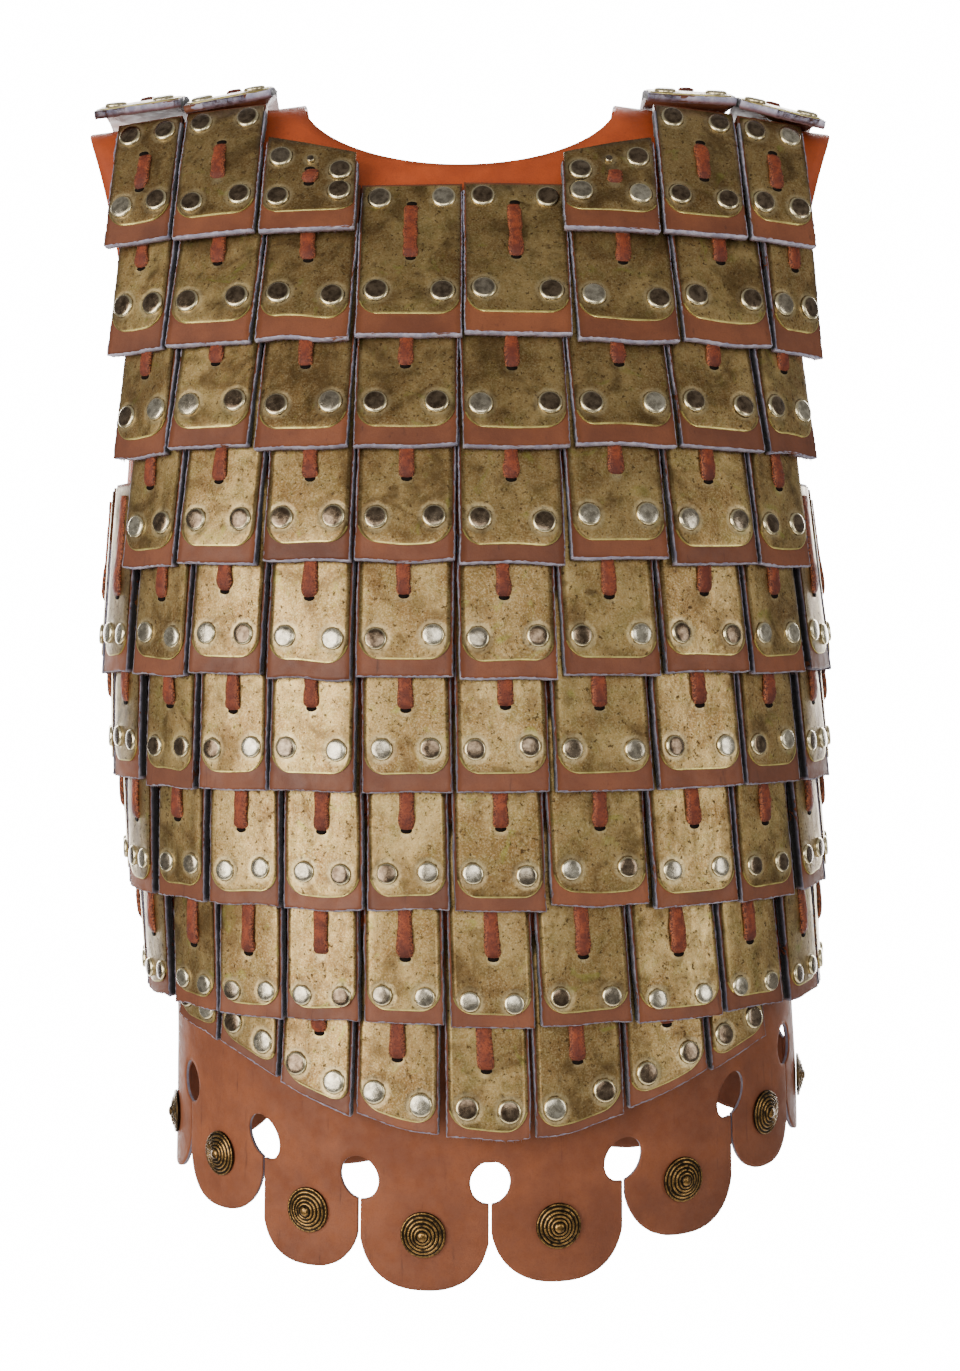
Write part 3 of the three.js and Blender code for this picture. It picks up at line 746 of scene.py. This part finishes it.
def thong(builder, lam, u, v_low, v_high, tone, loop, fine, width=8.2):
    """A leather strip that goes into its slit at v_low; a loop goes into a second slit at v_high."""
    count = 26 if fine else 14
    along = np.linspace(0, 1, count) ** (1.0 if loop else 1.5)
    v = v_low + (v_high - v_low) * along
    dive = 1 - np.exp(-(v - v_low + 0.2) / 1.7)
    if loop:
        dive = dive * (1 - np.exp(-(v_high - v + 0.2) / 1.7))
    arch = 0.9 * np.sin(math.pi * np.clip((v - v_low) / 26, 0, 1))
    top = LEATHER + BRASS - 1.6 + 3.6 * dive + arch
    sway = random.normal(0, 0.5) * np.sin(along * math.pi) + random.normal(0, 0.9) * along
    near_tip = np.clip((v - v_low) / 4.2, 0, 1)
    half = (width / 2) * (0.3 + 0.7 * np.sqrt(1 - (1 - near_tip) ** 2)) * (1 + 0.12 * np.exp(-((v - v_low - 6) / 5) ** 2))
    if loop:
        half = half * (0.82 + 0.18 * np.clip((v_high - v) / 4, 0, 1))
    half = half + wander(count, 3, 0.28)
    shape_u = np.array([-1, -1.03, -0.82, -0.4, 0.0, 0.4, 0.82, 1.03, 1, 0.5, -0.5])
    shape_n = np.array([-2.6, -1.0, -0.12, 0.12, 0.2, 0.12, -0.12, -1.0, -2.6, -2.8, -2.8])
    side = np.array([1, 1, 0.45, 0, 0, 0, 0.45, 1, 1, 1, 1.0])
    sides = len(shape_u)
    rough = random.normal(0, 0.13, (count, sides))
    pu = u + sway[:, None] + half[:, None] * shape_u + rough
    pn = top[:, None] + shape_n + rough * 0.7
    rings = lam.at(pu[::-1], np.broadcast_to(v[:, None], pu.shape)[::-1], pn[::-1])
    tip = np.clip(1 - (v - v_low) / 14, 0, 1)[::-1]
    tube(builder, rings[:, ::-1], 0, tone=tone, tip=np.broadcast_to(tip[:, None], pu.shape),
         side=np.broadcast_to(side[::-1], pu.shape))
    for end in [v_low] + ([v_high] if loop else []):
        turn = np.linspace(0, 2 * math.pi, 14, endpoint=False)
        away = 0.5 if end == v_low else -0.1
        du, dv = 3.3 * np.cos(turn), 1.9 * np.sin(turn) + away
        disc = lam.at(u + du, end + dv + away * 0.2, LEATHER + BRASS + 0.42)
        under = lam.at(u + du, end + dv + away * 0.2, LEATHER - 0.4)
        faces = [tuple(range(14)), tuple(reversed(range(14, 28)))]
        faces += [(14 + k, 14 + (k + 1) % 14, (k + 1) % 14, k) for k in range(14)]
        builder.add(np.concatenate([disc, under]), faces, 1)


class RowPieces:
    """The four joined meshes of a row: leather, cut edges, brass plates, rivets and thongs."""

    def __init__(self):
        self.leather = Builder(("tone",))
        self.edges = Builder(("under", "deep", "pale"))
        self.brass = Builder(("tone", "near", "edge"))
        self.rivets = Builder(("tone", "rim"))
        self.thongs = Builder(("tone", "tip", "side"))

    def build(self, name, nodes):
        self.leather.build(f"{name}_leather", [MAT["leather"]], "brass_lamella", nodes)
        self.edges.build(f"{name}_cut_edges", [MAT["edge"]], "base_leather")
        self.brass.build(f"{name}_plates", [MAT["brass"]], "brass_lamella")
        self.rivets.build(f"{name}_rivets", [MAT["rivet"]], "dark_brass")
        self.thongs.build(f"{name}_thongs", [MAT["thong"], MAT["hole"]], "base_leather")


def dress(pieces, lam, row, visible, fine, trim=None, top_rivets=False, loop=None, tone=0.7, stud=None):
    """Adds one lamella's leather, edge, brass, rivets and thong to the row's meshes."""
    rise, swing, phase = bottom_line(trim), random.normal(0, 0.8), random.uniform(0, 6.3)
    half = lam.width / 2
    slant = random.normal(0, 0.012)

    def trim(u):
        return rise(u) + swing * np.sin(math.pi * u / half + phase) * 0.6 + slant * u
    inset = min(11.0, half * 0.46) + random.normal(0, 0.5)
    radius = row["rivet_radius"]
    up = row["rivet_up"]
    spots = [(-half + inset, up + random.normal(0, 0.7), radius), (half - inset, up + random.normal(0, 0.7), radius)]
    spots = [(u, v + float(trim(np.array(u))), r) for u, v, r in spots]
    if top_rivets:
        spots += [(u, lam.length - 11 - float(lam.top_cut(np.array(u))), radius)
                  for u in (-half + inset, half - inset)]
    if stud is not None:
        spots.append((0.0, stud, 2.6))
    thong_u = random.normal(0, 1.0)
    slit = row["slit"] + float(trim(np.array(thong_u))) + random.normal(0, 0.8)
    ends = loop if loop else (slit, lam.length - 8)
    slits = [(thong_u, ends[0])] + ([(thong_u, ends[1])] if loop else [])
    pale = float(np.clip(row["pale"] + random.normal(0, 0.15), 0, 1))
    lamella_leather(pieces.leather, pieces.edges, lam, trim, visible, random.uniform(0.2, 1.0), pale, fine)
    lamella_brass(pieces.brass, lam, trim, row["margin"], 12.0, spots, slits, tone, fine)
    for u, v, r in spots:
        shine = 0.7 if random.random() < row["silver"] else 0.2
        rivet(pieces.rivets, lam, u, v, r, shine + random.uniform(-0.2, 0.25), fine)
    thong(pieces.thongs, lam, thong_u, ends[0], ends[1], random.uniform(0.3, 1.0), loop is not None, fine)


def teeth_of(start, widths):
    """(middle, width) of lamellae side by side from a place on the body."""
    teeth, edge = [], start
    for width in widths:
        teeth.append((edge + width / 2, width - SHOWN_GAP))
        edge += width
    return teeth


def row_rise(top, bottom, per_mm):
    return lambda v: LAYER_GAP + BOTTOM_RISE * (1 - np.asarray(v) * per_mm / (top - bottom))


def make_row(row):
    top = ROW_A_TOP if row["name"] == "A" else row["bottom"] + LAMELLA_LENGTH
    bottom = row["bottom"]
    half = float(BODY.half_at(bottom))
    trimmed = row["name"] == "H"
    start = row["middle"] - sum(row["columns"][:4])
    front = teeth_of(start, row["columns"])
    back_widths = row["columns"][1:-1] if row["name"] in NARROW_BACK_ROWS else row["columns"]
    back_half = sum(back_widths) / 2
    back = teeth_of(-back_half, back_widths)
    groups = [("front", BODY.skin, front, True), ("back", BODY.back_skin, back, False)]
    if row["name"] in JOINED_ROWS:
        right = start + sum(row["columns"]) - COLUMN_GAP / 2 + SIDE_GAP
        left = -start - COLUMN_GAP / 2 + SIDE_GAP
        for name, begin in (("right", right), ("left", left)):
            width = (half - back_half - SIDE_GAP - begin) / SIDE_PLATES
            teeth = teeth_of(begin, [width] * SIDE_PLATES)
            if name == "left":
                teeth = [(-middle, w) for middle, w in teeth]
            groups.append((name, BODY.skin, teeth, True))
    for name, surface, teeth, fine in groups:
        pieces = RowPieces()
        for i, (middle, width) in enumerate(teeth):
            steep = surface(middle, bottom + 31.0) - surface(middle, bottom + 30.0)
            rise = row_rise(top, bottom, 1 / np.linalg.norm(steep))
            length = (top - bottom) * np.linalg.norm(steep)
            lam = Lamella(surface, middle, width, top, bottom, rise, length,
                          turn=random.normal(0, 0.35), hang=random.normal(0, 0.9))
            trim = None
            if trimmed:
                trim = lambda u, m=middle: TRIM_RISE * side_rise(m + u, half)
            showing = row["name"] == "A" and name == "front" and i in (3, 4)
            loop = (row["slit"], row["slit"] + 42) if row["name"] == "A" else None
            dress(pieces, lam, row, 100 if showing else 68, fine, trim, showing, loop,
                  tone=random.uniform(0.45, 1.0))
        pieces.build(f"row_{row['name']}_{name}", [f"lamellae_{name}_{row['name']}"])


def make_yokes():
    row = dict(silver=0.12, rivet_radius=7.4, rivet_up=26, slit=52, margin=13, pale=1.0)
    top, bottom = YOKE["top"], YOKE["bottom"]
    for face, surface in (("front", BODY.skin), ("back", BODY.back_skin)):
        for side, word in ((-1, "left"), (1, "right")):
            pieces = RowPieces()
            for middle, width in teeth_of(YOKE["inner"], YOKE["widths"]):
                middle *= side
                steep = np.linalg.norm(surface(middle, bottom + 31.0) - surface(middle, bottom + 30.0))
                rise = row_rise(top, bottom, 1 / steep)
                length = (top - bottom) * steep
                lam = Lamella(surface, middle, width, top, bottom, rise, length, turn=random.normal(0, 0.5))
                loop, stud = (0.40 * length, 0.70 * length), None
                if abs(middle) < YOKE["inner"] + YOKE["widths"][0]:
                    # The innermost lamella is cut along the neck opening.
                    lam.top_cut = lambda u, m=side, n=length: n * (0.43 - 0.0032 * m * u)
                    loop, stud = (0.31 * length, 0.42 * length), 0.49 * length
                dress(pieces, lam, row, length - 12, face == "front", None, True, loop,
                      tone=random.uniform(0.1, 0.5), stud=stud)
            pieces.build(f"yoke_{face}_{word}", [f"yoke_{face}_{word}"])


def make_shoulders():
    row = dict(silver=0.2, rivet_radius=7.2, rivet_up=14, slit=40, margin=2.5, pale=1.0)
    for side, word in ((-1, "left"), (1, "right")):
        for which, (begin, width) in SHOULDER_PLATES.items():
            middle = side * (begin + width / 2)
            lam = ShoulderLamella(middle, width - 1.5, *SHOULDER_SET[word, which])
            pieces = RowPieces()
            dress(pieces, lam, row, 30, True, None, True, (30, lam.length - 30), tone=0.3)
            pieces.build(f"shoulder_{word}_{which}", [f"shoulder_{word}_{which}"])


class ShoulderLamella:
    """A lamella over the shoulder seam: v runs from its front edge to its back edge."""

    def __init__(self, middle, width, roll, raised):
        self.middle, self.width, self.roll, self.raised = middle, width, roll, raised
        y = np.linspace(-SHOULDER_REACH, SHOULDER_REACH, 81)
        line = self._roof(np.full(81, middle), y, 0.0)
        run = np.concatenate([[0], np.cumsum(np.linalg.norm(np.diff(line, axis=0), axis=1))])
        self.length, self.run, self.y = run[-1], run, y
        self.top_cut = lambda u: np.zeros_like(u)

    def at(self, u, v, n):
        u, v, n = np.broadcast_arrays(*(np.asarray(k, dtype=float) for k in (u, v, n)))
        y = np.interp(v, self.run, self.y)
        return self._roof(self.middle + u, y, n)

    def _roof(self, x, y, n):
        """Two flat slopes that meet in a soft ridge over the seam."""
        slope = ROOF_SLOPE * y / np.sqrt(y**2 + RIDGE_SOFTNESS**2)
        fall = ROOF_SLOPE * (np.sqrt(y**2 + RIDGE_SOFTNESS**2) - RIDGE_SOFTNESS)
        side = np.sign(self.middle)
        roll = math.radians(self.roll) * side
        lean = np.sqrt(1 + slope**2)
        seat = 2.0 + SHOULDER_LIFT - SHOULDER_SLOPE * max(0.0, abs(self.middle) - SHOULDER_START) + self.raised
        z = seat - fall + n / lean
        off = x - self.middle
        return np.stack([self.middle + off * math.cos(roll) + n * math.sin(roll), y + n * slope / lean,
                         z - off * math.sin(roll)], axis=-1)


# ---------------------------------------------------------------------------------------------
# Base leather and hem
# ---------------------------------------------------------------------------------------------

class Panel:
    """Closed leather sheet over joined grids of places (s, z): outer face, inner face and edges."""

    def __init__(self, surface, wall):
        self.surface, self.wall = surface, wall
        self.index, self.places, self.faces = {}, [], []

    def _id(self, s, z):
        key = (round(s, 3), round(z, 3))
        if key not in self.index:
            self.index[key] = len(self.places)
            self.places.append((s, z))
        return self.index[key]

    def grid(self, s, z):
        """Adds quads over arrays of places whose rows go downwards; degenerate ones are dropped."""
        ids = [[self._id(a, b) for a, b in zip(row_s, row_z)] for row_s, row_z in zip(s, z)]
        for r in range(len(ids) - 1):
            for c in range(len(ids[0]) - 1):
                face = [ids[r + 1][c], ids[r + 1][c + 1], ids[r][c + 1], ids[r][c]]
                face = [k for i, k in enumerate(face) if k != face[(i + 1) % 4]]
                if len(face) > 2:
                    self.faces.append(tuple(face))

    def build(self, name, face_material, slot, nodes, shade=None):
        s, z = np.array(self.places).T
        count = len(s)
        outer = lifted(self.surface, s, z, np.zeros(count))
        inner = lifted(self.surface, s, z, np.full(count, -self.wall))
        edges = {}
        for face in self.faces:
            for i, a in enumerate(face):
                edges[(a, face[(i + 1) % len(face)])] = True
        rim = [(a, b) for a, b in edges if (b, a) not in edges]
        # The rim is softly rounded: its two middle rings bulge from the sheet's edge.
        out = np.zeros((count, 3))
        for a, b in rim:
            along = outer[b] - outer[a]
            normal = np.cross(along, outer[a] - inner[a])
            normal /= max(np.linalg.norm(normal), 1e-9)
            out[a] += normal
            out[b] += normal
        length = np.linalg.norm(out, axis=1)
        out[length > 0] /= length[length > 0][:, None]
        points = [outer, inner]
        extra = {}
        rim_points = []
        for share in (0.25, 0.75):
            level = {}
            for a, _ in rim:
                level[a] = 2 * count + len(rim_points)
                spot = outer[a] * (1 - share) + inner[a] * share
                rim_points.append(spot + out[a] * (0.25 + random.normal(0, 0.06)))
            extra[share] = level
        faces = list(self.faces)
        slots = [0] * len(faces)
        faces += [tuple(k + count for k in reversed(face)) for face in self.faces]
        slots += [0] * len(self.faces)
        for a, b in rim:
            top, low = extra[0.25], extra[0.75]
            faces += [(top[a], top[b], b, a), (low[a], low[b], top[b], top[a]),
                      (a + count, b + count, low[b], low[a])]
            slots += [0, 1, 0]
        builder = Builder(("tone",))
        every = np.concatenate(points + [np.array(rim_points)])
        tone = 0.85 if shade is None else shade(every)
        builder.add(every, faces, 0, tone=tone)
        builder.slots = slots
        return builder.build(f"{name}_leather", [face_material, MAT["edge"]], slot, nodes)


def armhole_edge(z, chest, limit):
    """Distance round the body at which the armhole cuts a panel; below it, the side seam."""
    share = np.clip((z - ARMHOLE_CHEST_LEVEL) / -ARMHOLE_CHEST_LEVEL, 0, 1)
    upper = chest + (ARMHOLE_TIP - chest) * share**2
    share = np.clip((ARMHOLE_CHEST_LEVEL - z) / (ARMHOLE_CHEST_LEVEL - ARMHOLE_BOTTOM), 0, 1)
    lower = chest + (limit - chest) * (1 - np.sqrt(1 - share**3))
    return np.where(z >= ARMHOLE_CHEST_LEVEL, upper, np.where(z <= ARMHOLE_BOTTOM, limit, lower))


def make_base(name, surface, depth, reach):
    """Panel between the hem, the armholes, the shoulder seams and the neck."""
    panel = Panel(surface, BASE_WALL)
    corner = 42.0

    def inner(z):
        return NECK_HALF * np.sqrt(1 - (np.clip(-z, 0, corner) / depth) ** 2)

    neck_side = float(inner(np.array(-corner)))
    levels = np.concatenate([np.linspace(2.7, -15, 8), np.linspace(-15, -corner, 12)[1:],
                             np.linspace(-corner, -120, 16)[1:], np.linspace(-120, -245, 22)[1:],
                             ARMHOLE_BOTTOM + 17 * np.linspace(1, 0, 8)[1:] ** 2,
                             np.linspace(ARMHOLE_BOTTOM, BASE_HEM_SEAM, 36)[1:]])
    lower = levels[levels <= -corner + 1e-6]
    chest = np.linspace(-neck_side, neck_side, 29)
    shares = np.linspace(0, 1, 21) ** 0.9
    drop = -depth * np.sqrt(1 - (chest / NECK_HALF) ** 2)
    rows = [np.where(chest == chest, drop, 0)] + [np.full(len(chest), z) for z in lower]
    rows[0] = np.maximum(rows[0], -depth)
    rows[1] = np.minimum(rows[1], rows[0] - 0.0)
    s = np.broadcast_to(chest, (len(rows), len(chest)))
    grid_z = np.array(rows)
    for r in range(1, len(rows)):
        grid_z[r] = np.minimum(grid_z[r], grid_z[r - 1] - 0.0)
    panel.grid(s, grid_z)
    limit = BODY.half_at(levels) / 2 - SEAM / 2
    outer = armhole_edge(levels, reach, limit)
    for side in (-1, 1):
        inside = inner(levels)
        s = side * (inside[:, None] + (outer - inside)[:, None] * shares[None, :])
        grid_z = np.broadcast_to(levels[:, None], s.shape)
        # Below the neck's corner the strap's inner column is the chest's outer one.
        if side < 0:
            s, grid_z = s[:, ::-1], grid_z[:, ::-1]
        panel.grid(s, grid_z)
    return panel.build(name, MAT["base"], "base_leather", [name])


def keyhole_z(around):
    """Level of the keyhole centres."""
    half = float(BODY.half_at(KEYHOLE_LEVEL))
    s = np.where(around > half, around - 2 * half, around)
    rise = KEYHOLE_RISE * side_rise(s, half) ** KEYHOLE_RISE_POWER
    return KEYHOLE_LEVEL + rise + HEM_TILT * np.sin(math.pi * s / half)


def hem_shade(points):
    """Darker towards the lower edge and the right side."""
    s = np.arctan2(points[:, 0], -points[:, 1]) * 200
    depth = keyhole_z(s) - points[:, 2]
    right = np.clip(points[:, 0] / 200, -1, 1)
    return np.clip(0.95 - 0.006 * np.maximum(depth, 0) - 0.22 * right, 0.05, 1)


def make_hem(name, start, widths):
    """Scallops parted by keyholes, each with a boss."""
    panel = Panel(BODY.hem_skin, BASE_WALL)
    edge = start
    middles = []
    total = start + sum(widths)
    for width in widths:
        middle = edge + width / 2
        turn = np.radians(np.linspace(0, 90, 12))
        hole = KEYHOLE_RADIUS * np.sin(turn)
        near_edge = np.linspace(KEYHOLE_RADIUS, width / 2, 12)[1:]

        def across(first):
            away = np.concatenate([hole, near_edge])
            away[0] = first
            left = edge + away
            left = np.concatenate([left, (2 * middle - left[:-1])[::-1]])
            return np.clip(left, start + SEAM / 2, total - SEAM / 2)

        def hole_half(s):
            from_hole = width / 2 - np.abs(s - middle)
            return np.sqrt(np.maximum(0, KEYHOLE_RADIUS**2 - from_hole**2))

        s = across(0.0)
        top = np.full(len(s), BASE_HEM_SEAM - SEAM)
        low = keyhole_z(s) + hole_half(s)
        share = np.linspace(0, 1, 16)[:, None]
        panel.grid(np.broadcast_to(s, (16, len(s))), top * (1 - share) + low * share)
        s = across(SLIT_HALF)
        away = np.minimum(1, np.abs(s - middle) / (width / 2 - 0.0))
        lowest = keyhole_z(np.array(middle)) - SCALLOP_DROP + (width / 2) * (1 - (1 - away**SCALLOP_POWER) ** (1 / SCALLOP_POWER))
        high = keyhole_z(s) - hole_half(s)
        share = np.linspace(0, 1, 22)[:, None]
        panel.grid(np.broadcast_to(s, (22, len(s))), high * (1 - share) + lowest * share)
        middles.append(middle)
        edge += width
    piece = panel.build(name, MAT["hem"], "hem_leather", [name], hem_shade)
    for i, s in enumerate(middles):
        make_boss(f"boss_{name}_{i + 1}", s)
    return piece


BOSS_PROFILE = (  # radius share, height share, ridge
    (0.0, 0.0, 0), (1.0, 0.0, 0), (1.0, 0.12, 0.2), (0.985, 0.22, 0.7), (0.95, 0.27, 1), (0.91, 0.24, 0.5),
    (0.885, 0.2, 0), (0.86, 0.22, 0.2), (0.82, 0.38, 1), (0.775, 0.4, 1), (0.74, 0.34, 0.2), (0.725, 0.32, 0),
    (0.7, 0.34, 0.2), (0.655, 0.52, 1), (0.61, 0.54, 1), (0.58, 0.47, 0.2), (0.565, 0.45, 0), (0.54, 0.47, 0.2),
    (0.5, 0.64, 1), (0.455, 0.66, 1), (0.425, 0.6, 0.2), (0.41, 0.58, 0), (0.385, 0.6, 0.2), (0.345, 0.76, 1),
    (0.305, 0.78, 1), (0.28, 0.72, 0.2), (0.26, 0.7, 0), (0.235, 0.74, 0.3), (0.2, 0.9, 0.9), (0.12, 0.985, 1),
    (0.0, 1.0, 1))


def make_boss(name, s):
    """Stepped boss of turned rings, with a beaded ring near its rim."""
    level = float(keyhole_z(np.array(s))) - SCALLOP_DROP + BOSS_ABOVE
    seat = lifted(BODY.hem_skin, s, level, 0.0)
    out = unit(lifted(BODY.hem_skin, s, level, 1.0) - seat)
    across = unit(np.cross((0, 0, 1), out))
    up = np.cross(out, across)
    sides = 96
    turn = np.linspace(0, 2 * math.pi, sides, endpoint=False)
    builder = Builder(("ridge",))
    rings, ridges = [], []
    for share, height, ridge in BOSS_PROFILE[1:-1]:
        beads = 0.0
        if 0.9 <= share <= 0.99 or 0.6 < share < 0.71 or 0.45 < share < 0.51:
            beads = 0.32 * (0.5 + 0.5 * np.cos(turn * 36)) - 0.16
        radius = share * BOSS_RADIUS
        rise = BOSS_GAP + height * BOSS_HEIGHT + beads
        flat = np.outer(np.cos(turn) * radius, across) + np.outer(np.sin(turn) * radius, up)
        rings.append(seat + flat + np.broadcast_to(np.asarray(rise).reshape(-1, 1), (sides, 1)) * out)
        ridges.append(np.full(sides, ridge))
    top = seat + (BOSS_GAP + BOSS_HEIGHT) * out
    points = np.concatenate([np.concatenate(rings), top[None]])
    faces = []
    for r in range(len(rings) - 1):
        for c in range(sides):
            n = (c + 1) % sides
            faces.append((r * sides + c, r * sides + n, (r + 1) * sides + n, (r + 1) * sides + c))
    last = (len(rings) - 1) * sides
    faces += [(last + c, last + (c + 1) % sides, len(points) - 1) for c in range(sides)]
    faces.append(tuple(reversed(range(sides))))
    builder.add(points, faces, 0, ridge=np.concatenate(ridges + [[1.0]]))
    builder.build(f"{name}_turned", [MAT["boss"]], "dark_brass", [name])


# ---------------------------------------------------------------------------------------------
# Stage
# ---------------------------------------------------------------------------------------------

def area_light(name, place, aim, size, power, colour=(1, 1, 1)):
    lamp = bpy.data.lights.new(name, "AREA")
    lamp.shape = "RECTANGLE"
    lamp.size, lamp.size_y = size
    lamp.energy = power
    lamp.color = colour
    piece = bpy.data.objects.new(name, lamp)
    piece.location = place
    piece.rotation_euler = (Vector(aim) - Vector(place)).to_track_quat("-Z", "Y").to_euler()
    bpy.context.scene.collection.objects.link(piece)
    return piece


def make_world():
    """White behind the armour, dim in front of it and above it, so the brass has dark to reflect."""
    world = bpy.data.worlds.new("studio")
    world.use_nodes = True
    nodes, links = world.node_tree.nodes, world.node_tree.links
    background = nodes["Background"]
    place = nodes.new("ShaderNodeTexCoord")
    split = nodes.new("ShaderNodeSeparateXYZ")
    links.new(place.outputs["Generated"], split.inputs[0])
    strength = nodes.new("ShaderNodeMapRange")
    strength.interpolation_type = "SMOOTHSTEP"
    for key, value in (("From Min", 0.70), ("From Max", 0.885), ("To Min", 0.36), ("To Max", 16.0)):
        strength.inputs[key].default_value = value
    links.new(split.outputs["Y"], strength.inputs["Value"])
    links.new(strength.outputs["Result"], background.inputs["Strength"])
    background.inputs["Color"].default_value = (1, 1, 1, 1)
    bpy.context.scene.world = world


def make_floor():
    """Pale round floor, well below the armour, which hangs at the height at which it is worn."""
    mesh = bpy.data.meshes.new("floor")
    turn = np.linspace(0, 2 * math.pi, 96, endpoint=False)
    ring = [(1.05 * math.cos(a), 1.05 * math.sin(a), -1.32) for a in turn]
    mesh.from_pydata(ring, [], [tuple(range(96))])
    pale = bpy.data.materials.new("pale_floor")
    pale.use_nodes = True
    pale.node_tree.nodes["Principled BSDF"].inputs["Base Color"].default_value = rgb("#e9e6e2")
    pale.node_tree.nodes["Principled BSDF"].inputs["Roughness"].default_value = 0.8
    mesh.materials.append(pale)
    floor = bpy.data.objects.new("floor", mesh)
    bpy.context.scene.collection.objects.link(floor)


def make_stage():
    make_world()
    make_floor()
    area_light("key", (-1.7, -1.75, -0.1), (0, 0, -0.4), (1.7, 2.0), 78, (1.0, 0.97, 0.93))
    area_light("front", (0.1, -2.6, 0.35), (0, 0, -0.4), (1.5, 1.2), 20)
    area_light("fill", (2.1, -1.3, -0.1), (0, 0, -0.4), (0.7, 1.6), 16)
    area_light("back", (0.6, 2.2, 0.4), (0, 0, -0.4), (1.8, 1.4), 14)
    camera = bpy.data.cameras.new("camera")
    camera.lens = 51.57
    camera.shift_x = 0.0146
    camera.shift_y = -0.077
    view = bpy.data.objects.new("camera", camera)
    view.location = (0, -1.288, -0.308)
    view.rotation_euler = (math.pi / 2, 0, 0)
    bpy.context.scene.collection.objects.link(view)
    bpy.context.scene.camera = view


def main():
    for row in ROWS:
        make_row(row)
    make_yokes()
    make_shoulders()
    total = sum(FRONT_SCALLOPS)
    left = -sum(FRONT_SCALLOPS[:4])
    around = 2 * float(BODY.half_at(KEYHOLE_LEVEL))
    back = [(around - total) / BACK_SCALLOPS] * BACK_SCALLOPS
    # Each panel with its flat cut's width, length and area, in metres and square metres.
    sheets = [
        (make_base("base_front", BODY.skin, NECK_DEPTH["front"], CHEST_REACH["front"]), (0.61, 0.62), 0.28),
        (make_base("base_back", BODY.back_skin, NECK_DEPTH["back"], CHEST_REACH["back"]), (0.61, 0.60), 0.26),
        (make_hem("hem_front", left, FRONT_SCALLOPS), (0.60, 0.165), 0.07),
        (make_hem("hem_back", left + total, back), (0.60, 0.165), 0.06),
    ]
    make_stage()


main()
